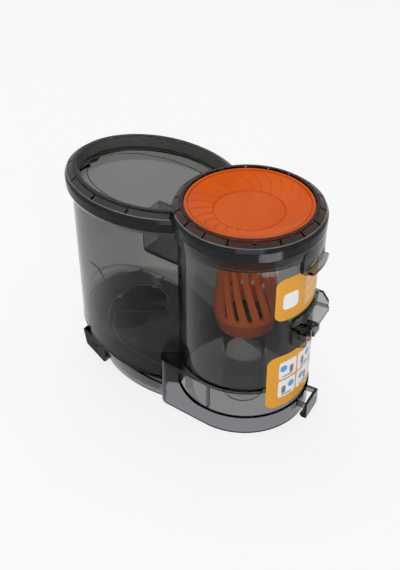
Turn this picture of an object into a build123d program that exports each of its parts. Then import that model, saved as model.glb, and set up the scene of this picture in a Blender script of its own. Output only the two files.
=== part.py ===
"""Dust bin of a cordless stick vacuum cleaner: an oval dust chamber beside a round cyclone.

Millimetres, +Z up. The origin lies on the cyclone axis, in the plane that the base
stands on. +X points from the dust chamber to the cyclone.
"""

import os
from math import atan2, cos, degrees, radians, sin, sqrt

from build123d import *

os.makedirs("parts", exist_ok=True)

# Chambers
wall = 2.0
cyclone_radius = 41.0
axis_distance = 69.0
dust_half_length = 54.8
dust_half_width = 42.0
rim_height = 132.0
rim_step = 4.8

# Floors, ledge and waist
cyclone_floor = 35.0
dust_floor = 17.0
dust_floor_tilt = 11.0
ledge_thickness = 2.2
ledge_overhang = 1.0
ledge_corner = 8.0
waist_back = 38.0
floor_step_radius = 24.0
floor_step = 0.6
seat_reach = 1.6
seat_height = 1.6
rib_width = 1.6
rib_depth = 3.6
pan_margin = 8.0

# Fits
fit = 0.3
seam = 0.15
seat_gap = 0.2

# Transfer duct between the chambers
duct_wall = 1.6
duct_mouth = 56.0
duct_side = 27.0
duct_width = 16.0
duct_drop = 31.0
duct_height = 26.0
duct_corner = 3.0

# Base skirt
skirt_line = 13.0
skirt_wall = 2.0
foot_centre = 52.0
foot_overlap = 3.2
foot_half_width = 39.0
taper_height = 34.0
taper_flare = 2.5
sweep_start = 21.0
sweep_radius = 17.0

# Side feet of the skirt
side_foot_back = 19.8
side_foot_length = 18.0
side_foot_reach = 36.0
side_foot_top = 20.0
side_foot_window = 5.0

# Cover: the collar has one profile, set out from the rim and the wall it sits over
skirt_drop = 7.5
skirt_reach = 2.4
collar_reach = 3.5
collar_height = 11.0
collar_wall = 1.6
shoulder_drop = 5.4
ridge_drop = 3.0
ridge_reach = 2.3
lip_rise = 0.8
lip_inset = 1.6
lip_wall = 1.9
seal_height = 4.6
panel_depth = 8.0
panel_thickness = 2.0
panel_step_width = 2.5
panel_step = 0.6
sleeve_depth = 7.0
notch_count = 18
notch_width = 1.0
notch_depth = 0.5
oval_notch_count = 9
oval_notch_step = 26.0

# Front hardware: snap tab, bracket and clip share one direction
front_angle = 7.0
tab_gap = 1.2
tab_thickness = 2.2
tab_half_width = 15.5
tab_drop = 18.5
tab_corner = 5.0
tab_lip_reach = 2.6
tab_lip_height = 2.2
tab_lip_half_width = 11.5
tab_lip_corner = 0.9
tab_window_width = 19.0
tab_window_height = 4.5
tab_window_rise = 3.0
catch_height = 0.8

# Mounting bracket
bracket_top = 84.0
bracket_shelf = 74.5
brow_height = 3.0
brow_reach = 2.2
brow_half_width = 17.5
brow_corner = 1.2
bracket_plate = 2.0
bracket_reach = 8.0
bracket_near = 17.0
bracket_far = 16.0
hook_width = 7.0
hook_drop = 10.0
nib_bottom = 61.0
nib_width = 8.0
nib_reach = 4.5
nib_height = 4.0

# End clip
clip_width = 17.0
clip_reach = 6.5
clip_plate = 1.8
clip_bottom = 1.5
clip_arm_height = 3.5
clip_bead_radius = 2.2

# Cap
cap_radius = 37.2
cap_gap = 0.3
cap_top_drop = 0.8
cap_rim = 1.6
cap_skirt = 10.0
cap_skirt_wall = 3.4
cap_wall = 2.0
dish_depth = 5.5
dish_sag = 0.9
disc_radius = 20.5
groove_width = 0.8
groove_depth = 0.5
flute_count = 24
flute_depth = 0.6
flute_turn = 0.9
flute_sweep = 13.0
o_ring_section = 1.1

# Vortex cone
cone_top_drop = 7.0
cone_top_radius = 12.5
cone_base = 67.0
cone_base_radius = 19.8
cone_bulge = 0.8
cone_wall = 1.8
band_height = 10.0
band_taper = 2.0
slot_count = 16
slot_width = 2.9
slot_twist = 42.0
slot_margin = 3.0
slot_levels = 4
socket_depth = 5.0
socket_wall = 1.8

# Outlet tube
tube_radius = 13.2
tube_wall = 1.6
tube_overlap = 4.0
tube_bottom = 0.0
gasket_thickness = 1.8
gasket_height = 3.0

# Inlet cowl and pipe
cowl_back = 27.8
cowl_y = -4.0
cowl_radius = 23.5
cowl_wall = 1.6
cowl_spring = 23.0
mouth_ahead = 10.0
mouth_y = 0.0
mouth_radius = 21.5
mouth_angle = -35.0
mouth_length = 16.0
inlet_ahead = -1.5
inlet_y = 3.0
inlet_radius = 10.2
inlet_bottom = 4.0

# Inlet flap and its pin
flap_hinge_rise = 15.0
flap_thickness = 1.4
flap_gap = 0.5
flap_side_gap = 1.2
flap_barrel = 1.7
pin_radius = 0.8
pin_clearance = 0.05

# Labels
label_thickness = 0.3
label_gap = 0.05
label_corner = 5.0
upper_label_rise = 1.5
upper_label_tuck = 2.0
upper_label_half_width = 27.0
lower_label_bottom = 17.5
lower_label_height = 41.0
lower_label_half_width = 29.0
label_margin = 1.0

# Derived heights, radii and planes
dust_rim = rim_height - rim_step
dust_end = -axis_distance - dust_half_length
skirt_bottom = rim_height - skirt_drop
tab_bottom = rim_height - tab_drop
duct_bottom = rim_height - duct_drop
cone_top = rim_height - cone_top_drop
upper_label_bottom = bracket_top + upper_label_rise
upper_label_height = tab_bottom + upper_label_tuck - upper_label_bottom
foot_half_length = dust_half_length + foot_overlap
side_foot_end = dust_end + side_foot_back
side_foot_front = side_foot_end + side_foot_length
cowl_x = dust_end + cowl_back
mouth_x = cowl_x + mouth_ahead
inlet_x = cowl_x + inlet_ahead
ring_top = rim_height + collar_height
lip_top = dust_rim + collar_height
panel_top = lip_top - panel_depth
panel_bottom = panel_top - panel_thickness
seal_room = seat_gap + seal_height
sleeve_bottom = rim_height - sleeve_depth
skirt_radius = cyclone_radius + ledge_overhang
ledge_bottom = cyclone_floor - wall
opening_radius = cap_radius + cap_gap
cap_top = ring_top - cap_top_drop
disc_top = cap_top - dish_depth
cap_under = disc_top - cap_wall
cap_bottom = cap_top - cap_skirt
band_bottom = cone_base - band_height
tube_top = band_bottom + tube_overlap
arch_inside = mouth_radius - cowl_wall
front_x, front_y = cos(radians(front_angle)), sin(radians(front_angle))
tilt_x, tilt_z = cos(radians(dust_floor_tilt)), sin(radians(dust_floor_tilt))
mouth_out_x, mouth_out_y = cos(radians(mouth_angle)), sin(radians(mouth_angle))
front_ground = Plane(origin=(0, 0, 0), x_dir=(front_x, front_y, 0), z_dir=(0, 0, 1))
front_face = Plane(origin=(0, 0, 0), x_dir=(-front_y, front_x, 0), z_dir=(front_x, front_y, 0))
front_side = Plane(origin=(0, 0, 0), x_dir=(front_x, front_y, 0), z_dir=(front_y, -front_x, 0))
floor_plane = Plane(
    origin=(-axis_distance, 0, dust_floor), x_dir=(tilt_x, 0, -tilt_z), z_dir=(tilt_z, 0, tilt_x)
)
mouth_plane = Plane(
    origin=(mouth_x, mouth_y, cowl_spring),
    x_dir=(-mouth_out_y, mouth_out_x, 0),
    z_dir=(mouth_out_x, mouth_out_y, 0),
)


def dust_outline(grow):
    """Draw the oval chamber's outside, grown by an amount, in the open sketch."""
    with Locations((-axis_distance, 0)):
        Ellipse(dust_half_length + grow, dust_half_width + grow)


def dust_outline_hole(grow):
    """Cut the oval chamber's outside, grown by an amount, from the open sketch."""
    with Locations((-axis_distance, 0)):
        Ellipse(dust_half_length + grow, dust_half_width + grow, mode=Mode.SUBTRACT)


def dust_rim_outline(grow):
    """Draw the top of the dust chamber's wall, grown on both sides, in the open sketch."""
    dust_outline(grow)
    dust_outline_hole(-wall - grow)


def well_outline(inset):
    """Draw the dust chamber's inside up to the cyclone wall, drawn in by an amount."""
    dust_outline(-wall - inset)
    Circle(cyclone_radius + inset, mode=Mode.SUBTRACT)


def waist_outline(inset):
    """Draw the block that fills the waist between the chambers, with rounded back corners."""
    length = waist_back - inset
    with Locations((-length / 2, 0)):
        corners = Rectangle(length, 2 * (skirt_radius - inset)).vertices().group_by(Axis.X)[0]
    fillet(corners, ledge_corner - inset)


def wrapped_panel(inner_radius, thickness, bottom, height, half_width, corner):
    """Return a thin rounded panel that wraps the cyclone wall in the front direction."""
    with BuildPart() as panel:
        with BuildSketch(Plane.XY.offset(bottom)):
            Circle(inner_radius + thickness)
            Circle(inner_radius, mode=Mode.SUBTRACT)
        extrude(amount=height)
        with BuildSketch(front_face):
            with Locations((0, bottom + height / 2)):
                RectangleRounded(2 * half_width, height, corner)
        extrude(amount=inner_radius + 2 * thickness, mode=Mode.INTERSECT)
    return panel.part


def radial_plate(outline, near, far):
    """Return a plate cut to a side outline, between two distances across the front direction."""
    with BuildPart() as plate:
        with BuildSketch(front_side.offset(-far)):
            with BuildLine():
                Polyline(*outline, close=True)
            make_face()
        extrude(amount=far - near)
    return plate.part


def tube(outer_radius, thickness, bottom, top, centre=(0, 0)):
    """Return an upright ring between two heights."""
    with BuildPart() as ring:
        with BuildSketch(Plane.XY.offset(bottom)):
            with Locations(centre):
                Circle(outer_radius)
                Circle(outer_radius - thickness, mode=Mode.SUBTRACT)
        extrude(amount=top - bottom)
    return ring.part


def dust_prism(grow, drop):
    """Return the oval prism above the tilted floor, grown outwards and downwards."""
    with BuildPart() as prism:
        with BuildSketch():
            dust_outline(grow)
        extrude(amount=dust_rim)
        split(bisect_by=floor_plane.offset(-drop), keep=Keep.TOP)
    return prism.part


def bowl(inset, drop):
    """Return the tapered form under the dust chamber, drawn in by an amount."""
    with BuildPart() as form:
        with BuildSketch():
            with Locations((-foot_centre, 0)):
                Ellipse(foot_half_length - inset, foot_half_width - inset)
        with BuildSketch(Plane.XY.offset(taper_height)):
            dust_outline(taper_flare - inset)
        loft()
        with BuildSketch():
            dust_outline(-inset)
            with Locations((-axis_distance / 2, 0)):
                Rectangle(axis_distance, 2 * (dust_half_width - inset))
        extrude(amount=taper_height, mode=Mode.INTERSECT)
        split(bisect_by=floor_plane.offset(-drop), keep=Keep.BOTTOM)
    return form.part


def cowl_form(inset, reach, drop):
    """Return the cowl's domed back and arched tunnel, drawn in, above the tilted floor."""
    with BuildPart() as dome:
        with Locations((cowl_x, cowl_y, cowl_spring)):
            Sphere(cowl_radius - inset)
        with BuildSketch():
            with Locations((cowl_x, cowl_y)):
                Circle(cowl_radius - inset)
        extrude(amount=cowl_spring)
        with BuildSketch(mouth_plane.offset(-inset)):
            Rectangle(8 * cowl_radius, 8 * cowl_radius)
        extrude(amount=4 * cowl_radius, mode=Mode.SUBTRACT)
    with BuildPart() as form:
        add(dome.part)
        with BuildSketch(mouth_plane.offset(-mouth_length)):
            Circle(mouth_radius - inset)
            with Locations((0, -cowl_spring / 2)):
                Rectangle(2 * (mouth_radius - inset), cowl_spring)
        extrude(amount=mouth_length + reach)
        split(bisect_by=floor_plane.offset(drop), keep=Keep.TOP)
    return form.part


# Space inside the dust chamber: above its tilted floor and outside the cyclone wall
with BuildPart() as dust_space:
    with BuildSketch():
        dust_outline(-wall)
    extrude(amount=rim_height)
    split(bisect_by=floor_plane.offset(wall), keep=Keep.TOP)
    with BuildSketch(floor_plane.offset(wall - floor_step)):
        Ellipse(dust_half_length - wall - pan_margin, dust_half_width - wall - pan_margin)
    extrude(amount=2 * floor_step)
    with BuildSketch():
        Circle(cyclone_radius)
    extrude(amount=rim_height, mode=Mode.SUBTRACT)

# Mounting bracket: a shelf, a raised fin at its far end, a hook block and a nib below
reach_x = cyclone_radius + bracket_reach
with BuildPart() as bracket:
    with BuildSketch(front_ground.offset(bracket_shelf)):
        with BuildLine():
            Polyline(
                (0, -bracket_near),
                (cyclone_radius, -bracket_near),
                (reach_x, -bracket_near / 4),
                (reach_x, bracket_far - bracket_reach / 2),
                (reach_x - bracket_reach / 2, bracket_far),
                (0, bracket_far),
                close=True,
            )
        make_face()
    extrude(amount=bracket_plate)
    fin_side = [
        (0, bracket_shelf - bracket_plate),
        (reach_x - bracket_plate, bracket_shelf - bracket_plate),
        (reach_x - bracket_plate, bracket_shelf + 2 * bracket_plate),
        (cyclone_radius + bracket_plate, bracket_top),
        (0, bracket_top),
    ]
    add(radial_plate(fin_side, bracket_far - bracket_plate, bracket_far))
    hook_side = [
        (0, bracket_shelf),
        (reach_x - bracket_plate, bracket_shelf),
        (reach_x - bracket_plate, bracket_shelf - hook_drop + bracket_plate),
        (cyclone_radius + bracket_plate, bracket_shelf - hook_drop),
        (0, bracket_shelf - hook_drop),
    ]
    add(radial_plate(hook_side, -bracket_near, -bracket_near + bracket_plate))
    add(radial_plate(hook_side, -bracket_near + hook_width, -bracket_near + hook_width + bracket_plate))
    nib_side = [
        (0, nib_bottom),
        (cyclone_radius + nib_reach, nib_bottom),
        (cyclone_radius + nib_reach, nib_bottom + nib_height),
        (0, nib_bottom + nib_height),
    ]
    add(radial_plate(nib_side, 0, nib_width))

# Bin body: both chambers, the wall between them, the waist ledge, duct and bracket
duct_end = sqrt((cyclone_radius - wall) ** 2 - duct_side**2)
catch_bottom = tab_bottom + tab_window_rise
with BuildPart() as bin_body:
    with BuildSketch(Plane.XY.offset(skirt_line)):
        Circle(cyclone_radius)
    extrude(amount=rim_height - skirt_line)
    add(dust_prism(0, 0))
    with BuildSketch(Plane.XY.offset(ledge_bottom)):
        waist_outline(0)
        Circle(skirt_radius)
    extrude(amount=ledge_thickness)
    add(bracket.part)
    catch_width = tab_window_width / 2 - 2 * fit
    add(wrapped_panel(cyclone_radius - fit, catch_height + fit, catch_bottom, wall, catch_width, fit))
    add(dust_space.part, mode=Mode.SUBTRACT)
    label_room = lower_label_half_width + label_margin
    add(
        wrapped_panel(
            cyclone_radius,
            2 * ledge_overhang,
            lower_label_bottom - label_margin,
            lower_label_height + 2 * label_margin,
            label_room,
            label_corner,
        ),
        mode=Mode.SUBTRACT,
    )
    with BuildSketch(Plane.XZ.offset(duct_side - duct_width)):
        with Locations((-duct_mouth, duct_bottom)):
            shell = Rectangle(duct_mouth - duct_end, duct_height, align=(Align.MIN, Align.MIN))
        fillet(shell.vertices().sort_by(Axis.X)[0:2].sort_by(Axis.Z)[0], duct_corner)
    extrude(amount=duct_width)
    with BuildSketch():
        Circle(cyclone_radius - wall)
    extrude(amount=rim_height, mode=Mode.SUBTRACT)
    seat_width = wall / 2 + seat_reach
    add(tube(cyclone_radius - wall / 2, seat_width, ledge_bottom - seat_height, ledge_bottom))
    with BuildSketch(Plane.XY.offset(skirt_line)):
        with Locations((0, wall - cyclone_radius), (0, cyclone_radius - wall)):
            Rectangle(rib_width, rib_depth)
    extrude(amount=ledge_bottom - skirt_line)
    with BuildSketch(Plane.XZ.offset(duct_side - duct_width + duct_wall)):
        with Locations((-duct_mouth - duct_wall, duct_bottom + duct_wall)):
            Rectangle(
                duct_mouth + duct_wall - duct_end,
                duct_height - 2 * duct_wall,
                align=(Align.MIN, Align.MIN),
            )
    extrude(amount=duct_width - 2 * duct_wall, mode=Mode.SUBTRACT)
    with BuildSketch():
        with Locations((inlet_x, inlet_y)):
            Circle(inlet_radius + seam)
    extrude(amount=taper_height, mode=Mode.SUBTRACT)
    brow_bottom = bracket_top - brow_height - fit
    brow_inside = cyclone_radius - wall / 2
    brow_depth = brow_reach + wall / 2
    add(wrapped_panel(brow_inside, brow_depth, brow_bottom, brow_height, brow_half_width, brow_corner))

# Base skirt: tapered bowl, waist block with its swept top edge, ring, feet and end clip
with BuildPart() as base_skirt:
    add(bowl(0, seam))
    foot_mid = (side_foot_front + side_foot_end) / 2
    foot_side = [
        (side_foot_end, side_foot_top + skirt_wall),
        (side_foot_end + skirt_wall, side_foot_top / 2),
        (side_foot_front - skirt_wall, skirt_wall / 2),
        (side_foot_front, skirt_wall),
        (side_foot_front, side_foot_top - skirt_wall),
    ]
    with BuildSketch(Plane.XZ):
        with BuildLine():
            Polyline(*foot_side, close=True)
        foot_face = make_face()
    extrude(amount=side_foot_reach, both=True)
    with BuildSketch(Plane.XZ):
        offset(foot_face.face(), amount=-skirt_wall, kind=Kind.INTERSECTION)
    extrude(amount=side_foot_reach - skirt_wall, both=True, mode=Mode.SUBTRACT)
    with BuildSketch(Plane.XZ):
        with Locations((foot_mid, side_foot_top / 2 + skirt_wall)):
            Rectangle(side_foot_window, side_foot_window / 2)
    extrude(amount=side_foot_reach, both=True, mode=Mode.SUBTRACT)
    add(bowl(0, seam))
    with BuildSketch():
        Circle(skirt_radius)
    extrude(amount=skirt_line - seam)
    with BuildSketch():
        waist_outline(0)
    extrude(amount=ledge_bottom - seam)
    with BuildSketch(Plane.XZ):
        with Locations((-sweep_start, skirt_line - seam)):
            cut = Rectangle(2 * skirt_radius, cyclone_floor, align=(Align.MIN, Align.MIN))
        fillet(cut.vertices().sort_by(Axis.X)[0:2].sort_by(Axis.Z)[0], sweep_radius)
    extrude(amount=2 * skirt_radius, both=True, mode=Mode.SUBTRACT)
    with BuildSketch(Plane.XY.offset(skirt_line - seam)):
        Circle(cyclone_radius + seam)
    extrude(amount=ledge_bottom, mode=Mode.SUBTRACT)
    add(bowl(skirt_wall, seam + skirt_wall), mode=Mode.SUBTRACT)
    with BuildSketch():
        Circle(skirt_radius - skirt_wall)
        waist_outline(skirt_wall)
    extrude(amount=ledge_bottom, mode=Mode.SUBTRACT)
    add(dust_prism(seam, seam), mode=Mode.SUBTRACT)
    with BuildSketch():
        with Locations((inlet_x, inlet_y)):
            Circle(inlet_radius + seam)
    extrude(amount=taper_height, mode=Mode.SUBTRACT)
    clip_front = skirt_radius + clip_reach
    clip_top = skirt_line - seam
    arm_side = [
        (skirt_radius - skirt_wall / 2, clip_top - clip_arm_height),
        (clip_front, clip_top - clip_arm_height),
        (clip_front, clip_top),
        (skirt_radius - skirt_wall / 2, clip_top),
    ]
    add(radial_plate(arm_side, -clip_width / 2, -clip_width / 2 + clip_plate))
    add(radial_plate(arm_side, clip_width / 2 - clip_plate, clip_width / 2))
    with BuildSketch(front_side):
        with Locations((clip_front, (clip_top + clip_bottom) / 2)):
            Rectangle(clip_plate, clip_top - clip_bottom, align=(Align.MAX, Align.CENTER))
        with Locations((clip_front - clip_bead_radius, clip_bottom + clip_bead_radius)):
            Circle(clip_bead_radius)
    extrude(amount=clip_width / 2, both=True)

# Snap tab of the cover, with the window that the body's catch sits in
tab_inside = cyclone_radius + tab_gap
tab_height = rim_height - tab_bottom
with BuildPart() as snap_tab:
    add(wrapped_panel(tab_inside, tab_thickness, tab_bottom, tab_height, tab_half_width, tab_corner))
    with BuildSketch(front_face):
        with Locations((0, tab_bottom + tab_window_rise + tab_window_height / 2)):
            RectangleRounded(tab_window_width, tab_window_height, tab_window_height / 3)
    extrude(amount=2 * cyclone_radius, mode=Mode.SUBTRACT)
    tab_lip_depth = tab_thickness / 2 + tab_lip_reach
    add(
        wrapped_panel(
            tab_inside + tab_thickness / 2,
            tab_lip_depth,
            tab_bottom,
            tab_lip_height,
            tab_lip_half_width,
            tab_lip_corner,
        )
    )

# Collar profile, as distances out from the wall and heights above the rim
collar_profile = [
    (collar_reach, 0),
    (collar_reach, collar_height - shoulder_drop),
    (ridge_reach, collar_height - ridge_drop),
    (-lip_inset, collar_height - lip_rise),
    (-lip_inset, collar_height),
]
notch_middle = (ridge_reach - lip_inset) / 2
notch_level = collar_height - (ridge_drop + lip_rise) / 2
notch_fall = ridge_drop - lip_rise
notch_slope = Location((0, 0, 0), (0, degrees(atan2(notch_fall, ridge_reach + lip_inset)), 0))
notch_length = sqrt((ridge_reach + lip_inset) ** 2 + notch_fall**2)
room_reach = collar_reach - collar_wall
room_inset = wall + fit
room_top = collar_height - ridge_drop - collar_wall

# Top cover: collars over both rims, recessed oval panel, snap tab and sleeve for the cap
with BuildPart() as top_cover:
    ring_side = [(cyclone_radius + out, rim_height + up) for out, up in collar_profile]
    skirt_edge = (cyclone_radius + skirt_reach, skirt_bottom)
    with BuildSketch(Plane.XZ):
        with BuildLine():
            Polyline((0, skirt_bottom), skirt_edge, *ring_side, (0, ring_top), close=True)
        make_face()
    revolve(axis=Axis.Z)
    for low, high in zip([(skirt_reach, skirt_bottom - dust_rim)] + collar_profile, collar_profile):
        with BuildSketch(Plane.XY.offset(dust_rim + low[1])):
            dust_outline(low[0])
        with BuildSketch(Plane.XY.offset(dust_rim + high[1])):
            dust_outline(high[0])
        loft()
    add(snap_tab.part)
    with BuildSketch(Plane.XY.offset(skirt_bottom)):
        dust_outline(fit)
    extrude(amount=panel_bottom - skirt_bottom, mode=Mode.SUBTRACT)
    with BuildSketch(Plane.XY.offset(panel_bottom)):
        dust_rim_outline(fit)
    extrude(amount=dust_rim + seal_room - panel_bottom, mode=Mode.SUBTRACT)
    with BuildSketch(Plane.XY.offset(skirt_bottom)):
        Circle(cyclone_radius + fit)
    extrude(amount=rim_height + seal_room - skirt_bottom, mode=Mode.SUBTRACT)
    with BuildSketch(Plane.XY.offset(dust_rim)):
        dust_outline(room_reach)
        dust_outline_hole(-room_inset)
        Circle(cyclone_radius + collar_reach, mode=Mode.SUBTRACT)
    extrude(amount=collar_height - shoulder_drop, mode=Mode.SUBTRACT)
    with BuildSketch(Plane.XY.offset(dust_rim)):
        dust_outline(fit)
        dust_outline_hole(-room_inset)
        Circle(cyclone_radius + collar_reach, mode=Mode.SUBTRACT)
    extrude(amount=room_top, mode=Mode.SUBTRACT)
    with BuildSketch(Plane.XZ):
        with BuildLine():
            Polyline(
                (cyclone_radius - room_inset, rim_height),
                (cyclone_radius + room_reach, rim_height),
                (cyclone_radius + room_reach, ring_top - shoulder_drop),
                (cyclone_radius + fit, rim_height + room_top),
                (cyclone_radius - room_inset, rim_height + room_top),
                close=True,
            )
        make_face()
    revolve(axis=Axis.Z, mode=Mode.SUBTRACT)
    with BuildSketch(Plane.XY.offset(panel_top)):
        well_outline(fit + lip_wall)
    extrude(amount=panel_depth, mode=Mode.SUBTRACT)
    with BuildSketch(Plane.XY.offset(panel_top - panel_step)):
        well_outline(fit + lip_wall + panel_step_width)
    extrude(amount=panel_step, mode=Mode.SUBTRACT)
    with BuildSketch(Plane.XY.offset(sleeve_bottom)):
        Circle(cyclone_radius - wall - fit)
    extrude(amount=ring_top - sleeve_bottom)
    with BuildSketch(Plane.XY.offset(sleeve_bottom)):
        Circle(opening_radius)
    extrude(amount=ring_top - sleeve_bottom, mode=Mode.SUBTRACT)
    with PolarLocations(cyclone_radius + notch_middle, notch_count, start_angle=front_angle):
        with Locations((0, 0, rim_height + notch_level)):
            with Locations(notch_slope):
                Box(notch_length, notch_width, 2 * notch_depth, mode=Mode.SUBTRACT)
    for step in range(oval_notch_count):
        turn = radians(180 + (step - (oval_notch_count - 1) / 2) * oval_notch_step)
        edge_x = (dust_half_length + notch_middle) * cos(turn)
        edge_y = (dust_half_width + notch_middle) * sin(turn)
        facing = degrees(atan2(dust_half_length * sin(turn), dust_half_width * cos(turn)))
        with Locations(Location((edge_x - axis_distance, edge_y, dust_rim + notch_level), (0, 0, facing))):
            with Locations(notch_slope):
                Box(notch_length, notch_width, 2 * notch_depth, mode=Mode.SUBTRACT)

# Seals between the cover's channels and the chamber rims
seal_rise = seal_room - label_gap
with BuildPart() as cyclone_seal:
    seal_outside = cyclone_radius + seat_gap
    add(tube(seal_outside, wall + 2 * seat_gap, rim_height + seat_gap, rim_height + seal_rise))

with BuildPart() as dust_chamber_seal:
    with BuildSketch(Plane.XY.offset(dust_rim + seat_gap)):
        dust_rim_outline(seat_gap)
        Circle(cyclone_radius + fit, mode=Mode.SUBTRACT)
    extrude(amount=seal_rise - seat_gap)

# Cap: fluted swirl dish with a rim, an inner socket for the cone and a groove for its ring
rim_inner = cap_radius - cap_rim
groove_centre = cap_bottom + cap_skirt / 3
o_ring_mid = opening_radius - cap_gap / 2 - o_ring_section
dish_mid = (disc_radius + rim_inner) / 2
dish_level = (disc_top + cap_top) / 2 - dish_sag
with BuildPart() as cyclone_cap:
    with BuildSketch(Plane.XZ):
        with BuildLine():
            Line((0, cap_under), (0, disc_top))
            Line((0, disc_top), (disc_radius, disc_top))
            ThreePointArc((disc_radius, disc_top), (dish_mid, dish_level), (rim_inner, cap_top))
            Polyline(
                (rim_inner, cap_top),
                (cap_radius - cap_rim / 3, cap_top),
                (cap_radius, cap_top - cap_rim / 3),
                (cap_radius, cap_bottom),
                (cap_radius - cap_skirt_wall, cap_bottom),
                (cap_radius - cap_skirt_wall, cap_top - cap_skirt_wall),
            )
            ThreePointArc(
                (cap_radius - cap_skirt_wall, cap_top - cap_skirt_wall),
                (dish_mid, dish_level - cap_wall),
                (disc_radius, cap_under),
            )
            Line((disc_radius, cap_under), (0, cap_under))
        make_face()
    revolve(axis=Axis.Z)
    with BuildSketch(Plane.XZ):
        with Locations((disc_radius, disc_top)):
            Rectangle(groove_width, 2 * groove_depth)
        with Locations((cap_radius, groove_centre)):
            Rectangle(2 * (cap_radius - o_ring_mid + o_ring_section + label_gap), 2.2 * o_ring_section)
    revolve(axis=Axis.Z, mode=Mode.SUBTRACT)
    add(tube(cone_top_radius + seam + socket_wall, socket_wall, cap_under - socket_depth, cap_under))

# Cutter for the curved flutes: bent strips that reach a little below the dish
flute_start = disc_radius + groove_width
flute_end = rim_inner - groove_width
flute_bend = (flute_start + flute_end) / 2
flute_edges = [
    [
        (radius * cos(radians(turn)), radius * sin(radians(turn)))
        for radius, turn in (
            (flute_start, side * flute_turn),
            (flute_bend, flute_sweep / 4 + 2 * side * flute_turn),
            (flute_end, flute_sweep + side * flute_turn),
        )
    ]
    for side in (-1, 1)
]
with BuildSketch(Plane.XY.offset(cap_under)) as flute:
    with BuildLine():
        ThreePointArc(*flute_edges[0])
        Line(flute_edges[0][2], flute_edges[1][2])
        ThreePointArc(*flute_edges[1])
        Line(flute_edges[1][0], flute_edges[0][0])
    make_face()
with BuildPart() as flute_cutter:
    with BuildSketch(Plane.XZ):
        with BuildLine():
            ThreePointArc(
                (disc_radius, disc_top - flute_depth),
                (dish_mid, dish_level - flute_depth),
                (rim_inner, cap_top - flute_depth),
            )
            Polyline(
                (rim_inner, cap_top - flute_depth),
                (rim_inner, cap_top + flute_depth),
                (disc_radius, cap_top + flute_depth),
                (disc_radius, disc_top - flute_depth),
            )
        make_face()
    revolve(axis=Axis.Z)
    with BuildSketch(Plane.XY.offset(cap_under)):
        with PolarLocations(0, flute_count):
            add(flute.face())
    extrude(amount=2 * dish_depth + cap_wall, mode=Mode.INTERSECT)
with BuildPart() as fluted_cap:
    add(cyclone_cap.part)
    add(flute_cutter.part, mode=Mode.SUBTRACT)

with BuildPart() as cap_o_ring:
    with BuildSketch(Plane.XZ):
        with Locations((o_ring_mid, groove_centre)):
            Circle(o_ring_section)
    revolve(axis=Axis.Z)

# Cutter for one slot of the cone: a thin blade that turns as it goes down
slot_top = cone_top - slot_margin
slot_bottom = cone_base + slot_margin
with BuildPart() as slot_cutter:
    for level in range(slot_levels + 1):
        share = level / slot_levels
        height = slot_top + (slot_bottom - slot_top) * share
        turned = Plane.XY.offset(height).rotated((0, 0, slot_twist * share))
        with BuildSketch(turned):
            with Locations((cone_base_radius, 0)):
                Rectangle(cone_base_radius + cone_top_radius, slot_width)
    loft(ruled=True)

# Vortex cone: hollow shell with turned slots over a plain band
spigot_top = cap_under - seam
cone_mid = (cone_top + cone_base) / 2
cone_mid_radius = (cone_top_radius + cone_base_radius) / 2 + cone_bulge
band_radius = cone_base_radius - band_taper
with BuildPart() as vortex_cone:
    with BuildSketch(Plane.XZ):
        with BuildLine():
            Polyline((0, spigot_top), (cone_top_radius, spigot_top), (cone_top_radius, cone_top))
            ThreePointArc(
                (cone_top_radius, cone_top),
                (cone_mid_radius, cone_mid),
                (cone_base_radius, cone_base),
            )
            Polyline(
                (cone_base_radius, cone_base),
                (band_radius, band_bottom),
                (band_radius - cone_wall, band_bottom),
                (cone_base_radius - cone_wall, cone_base),
            )
            ThreePointArc(
                (cone_base_radius - cone_wall, cone_base),
                (cone_mid_radius - cone_wall, cone_mid),
                (cone_top_radius - cone_wall, cone_top),
            )
            Polyline(
                (cone_top_radius - cone_wall, cone_top),
                (cone_top_radius - cone_wall, spigot_top - cone_wall),
                (0, spigot_top - cone_wall),
                (0, spigot_top),
            )
        make_face()
    revolve(axis=Axis.Z)
    with PolarLocations(0, slot_count):
        add(slot_cutter.part, mode=Mode.SUBTRACT)

with BuildPart() as cone_seal:
    seal_reach = band_radius - cone_wall - seam
    seal_hole = tube_radius + seat_gap
    add(tube(seal_reach, seal_reach - seal_hole, band_bottom + seam, band_bottom + gasket_height))

# Outlet tube under the cone, in one with the cyclone's floor that rests on the body's seat
with BuildPart() as outlet_tube:
    add(tube(tube_radius, tube_wall, tube_bottom, tube_top))
    floor_radius = cyclone_radius - wall - seam
    floor_bottom = ledge_bottom + seam / 3
    floor_low = cyclone_floor - floor_step
    add(tube(floor_radius, floor_radius - tube_radius + tube_wall, floor_bottom, floor_low))
    add(tube(floor_radius, floor_radius - floor_step_radius, floor_bottom, cyclone_floor))

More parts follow.
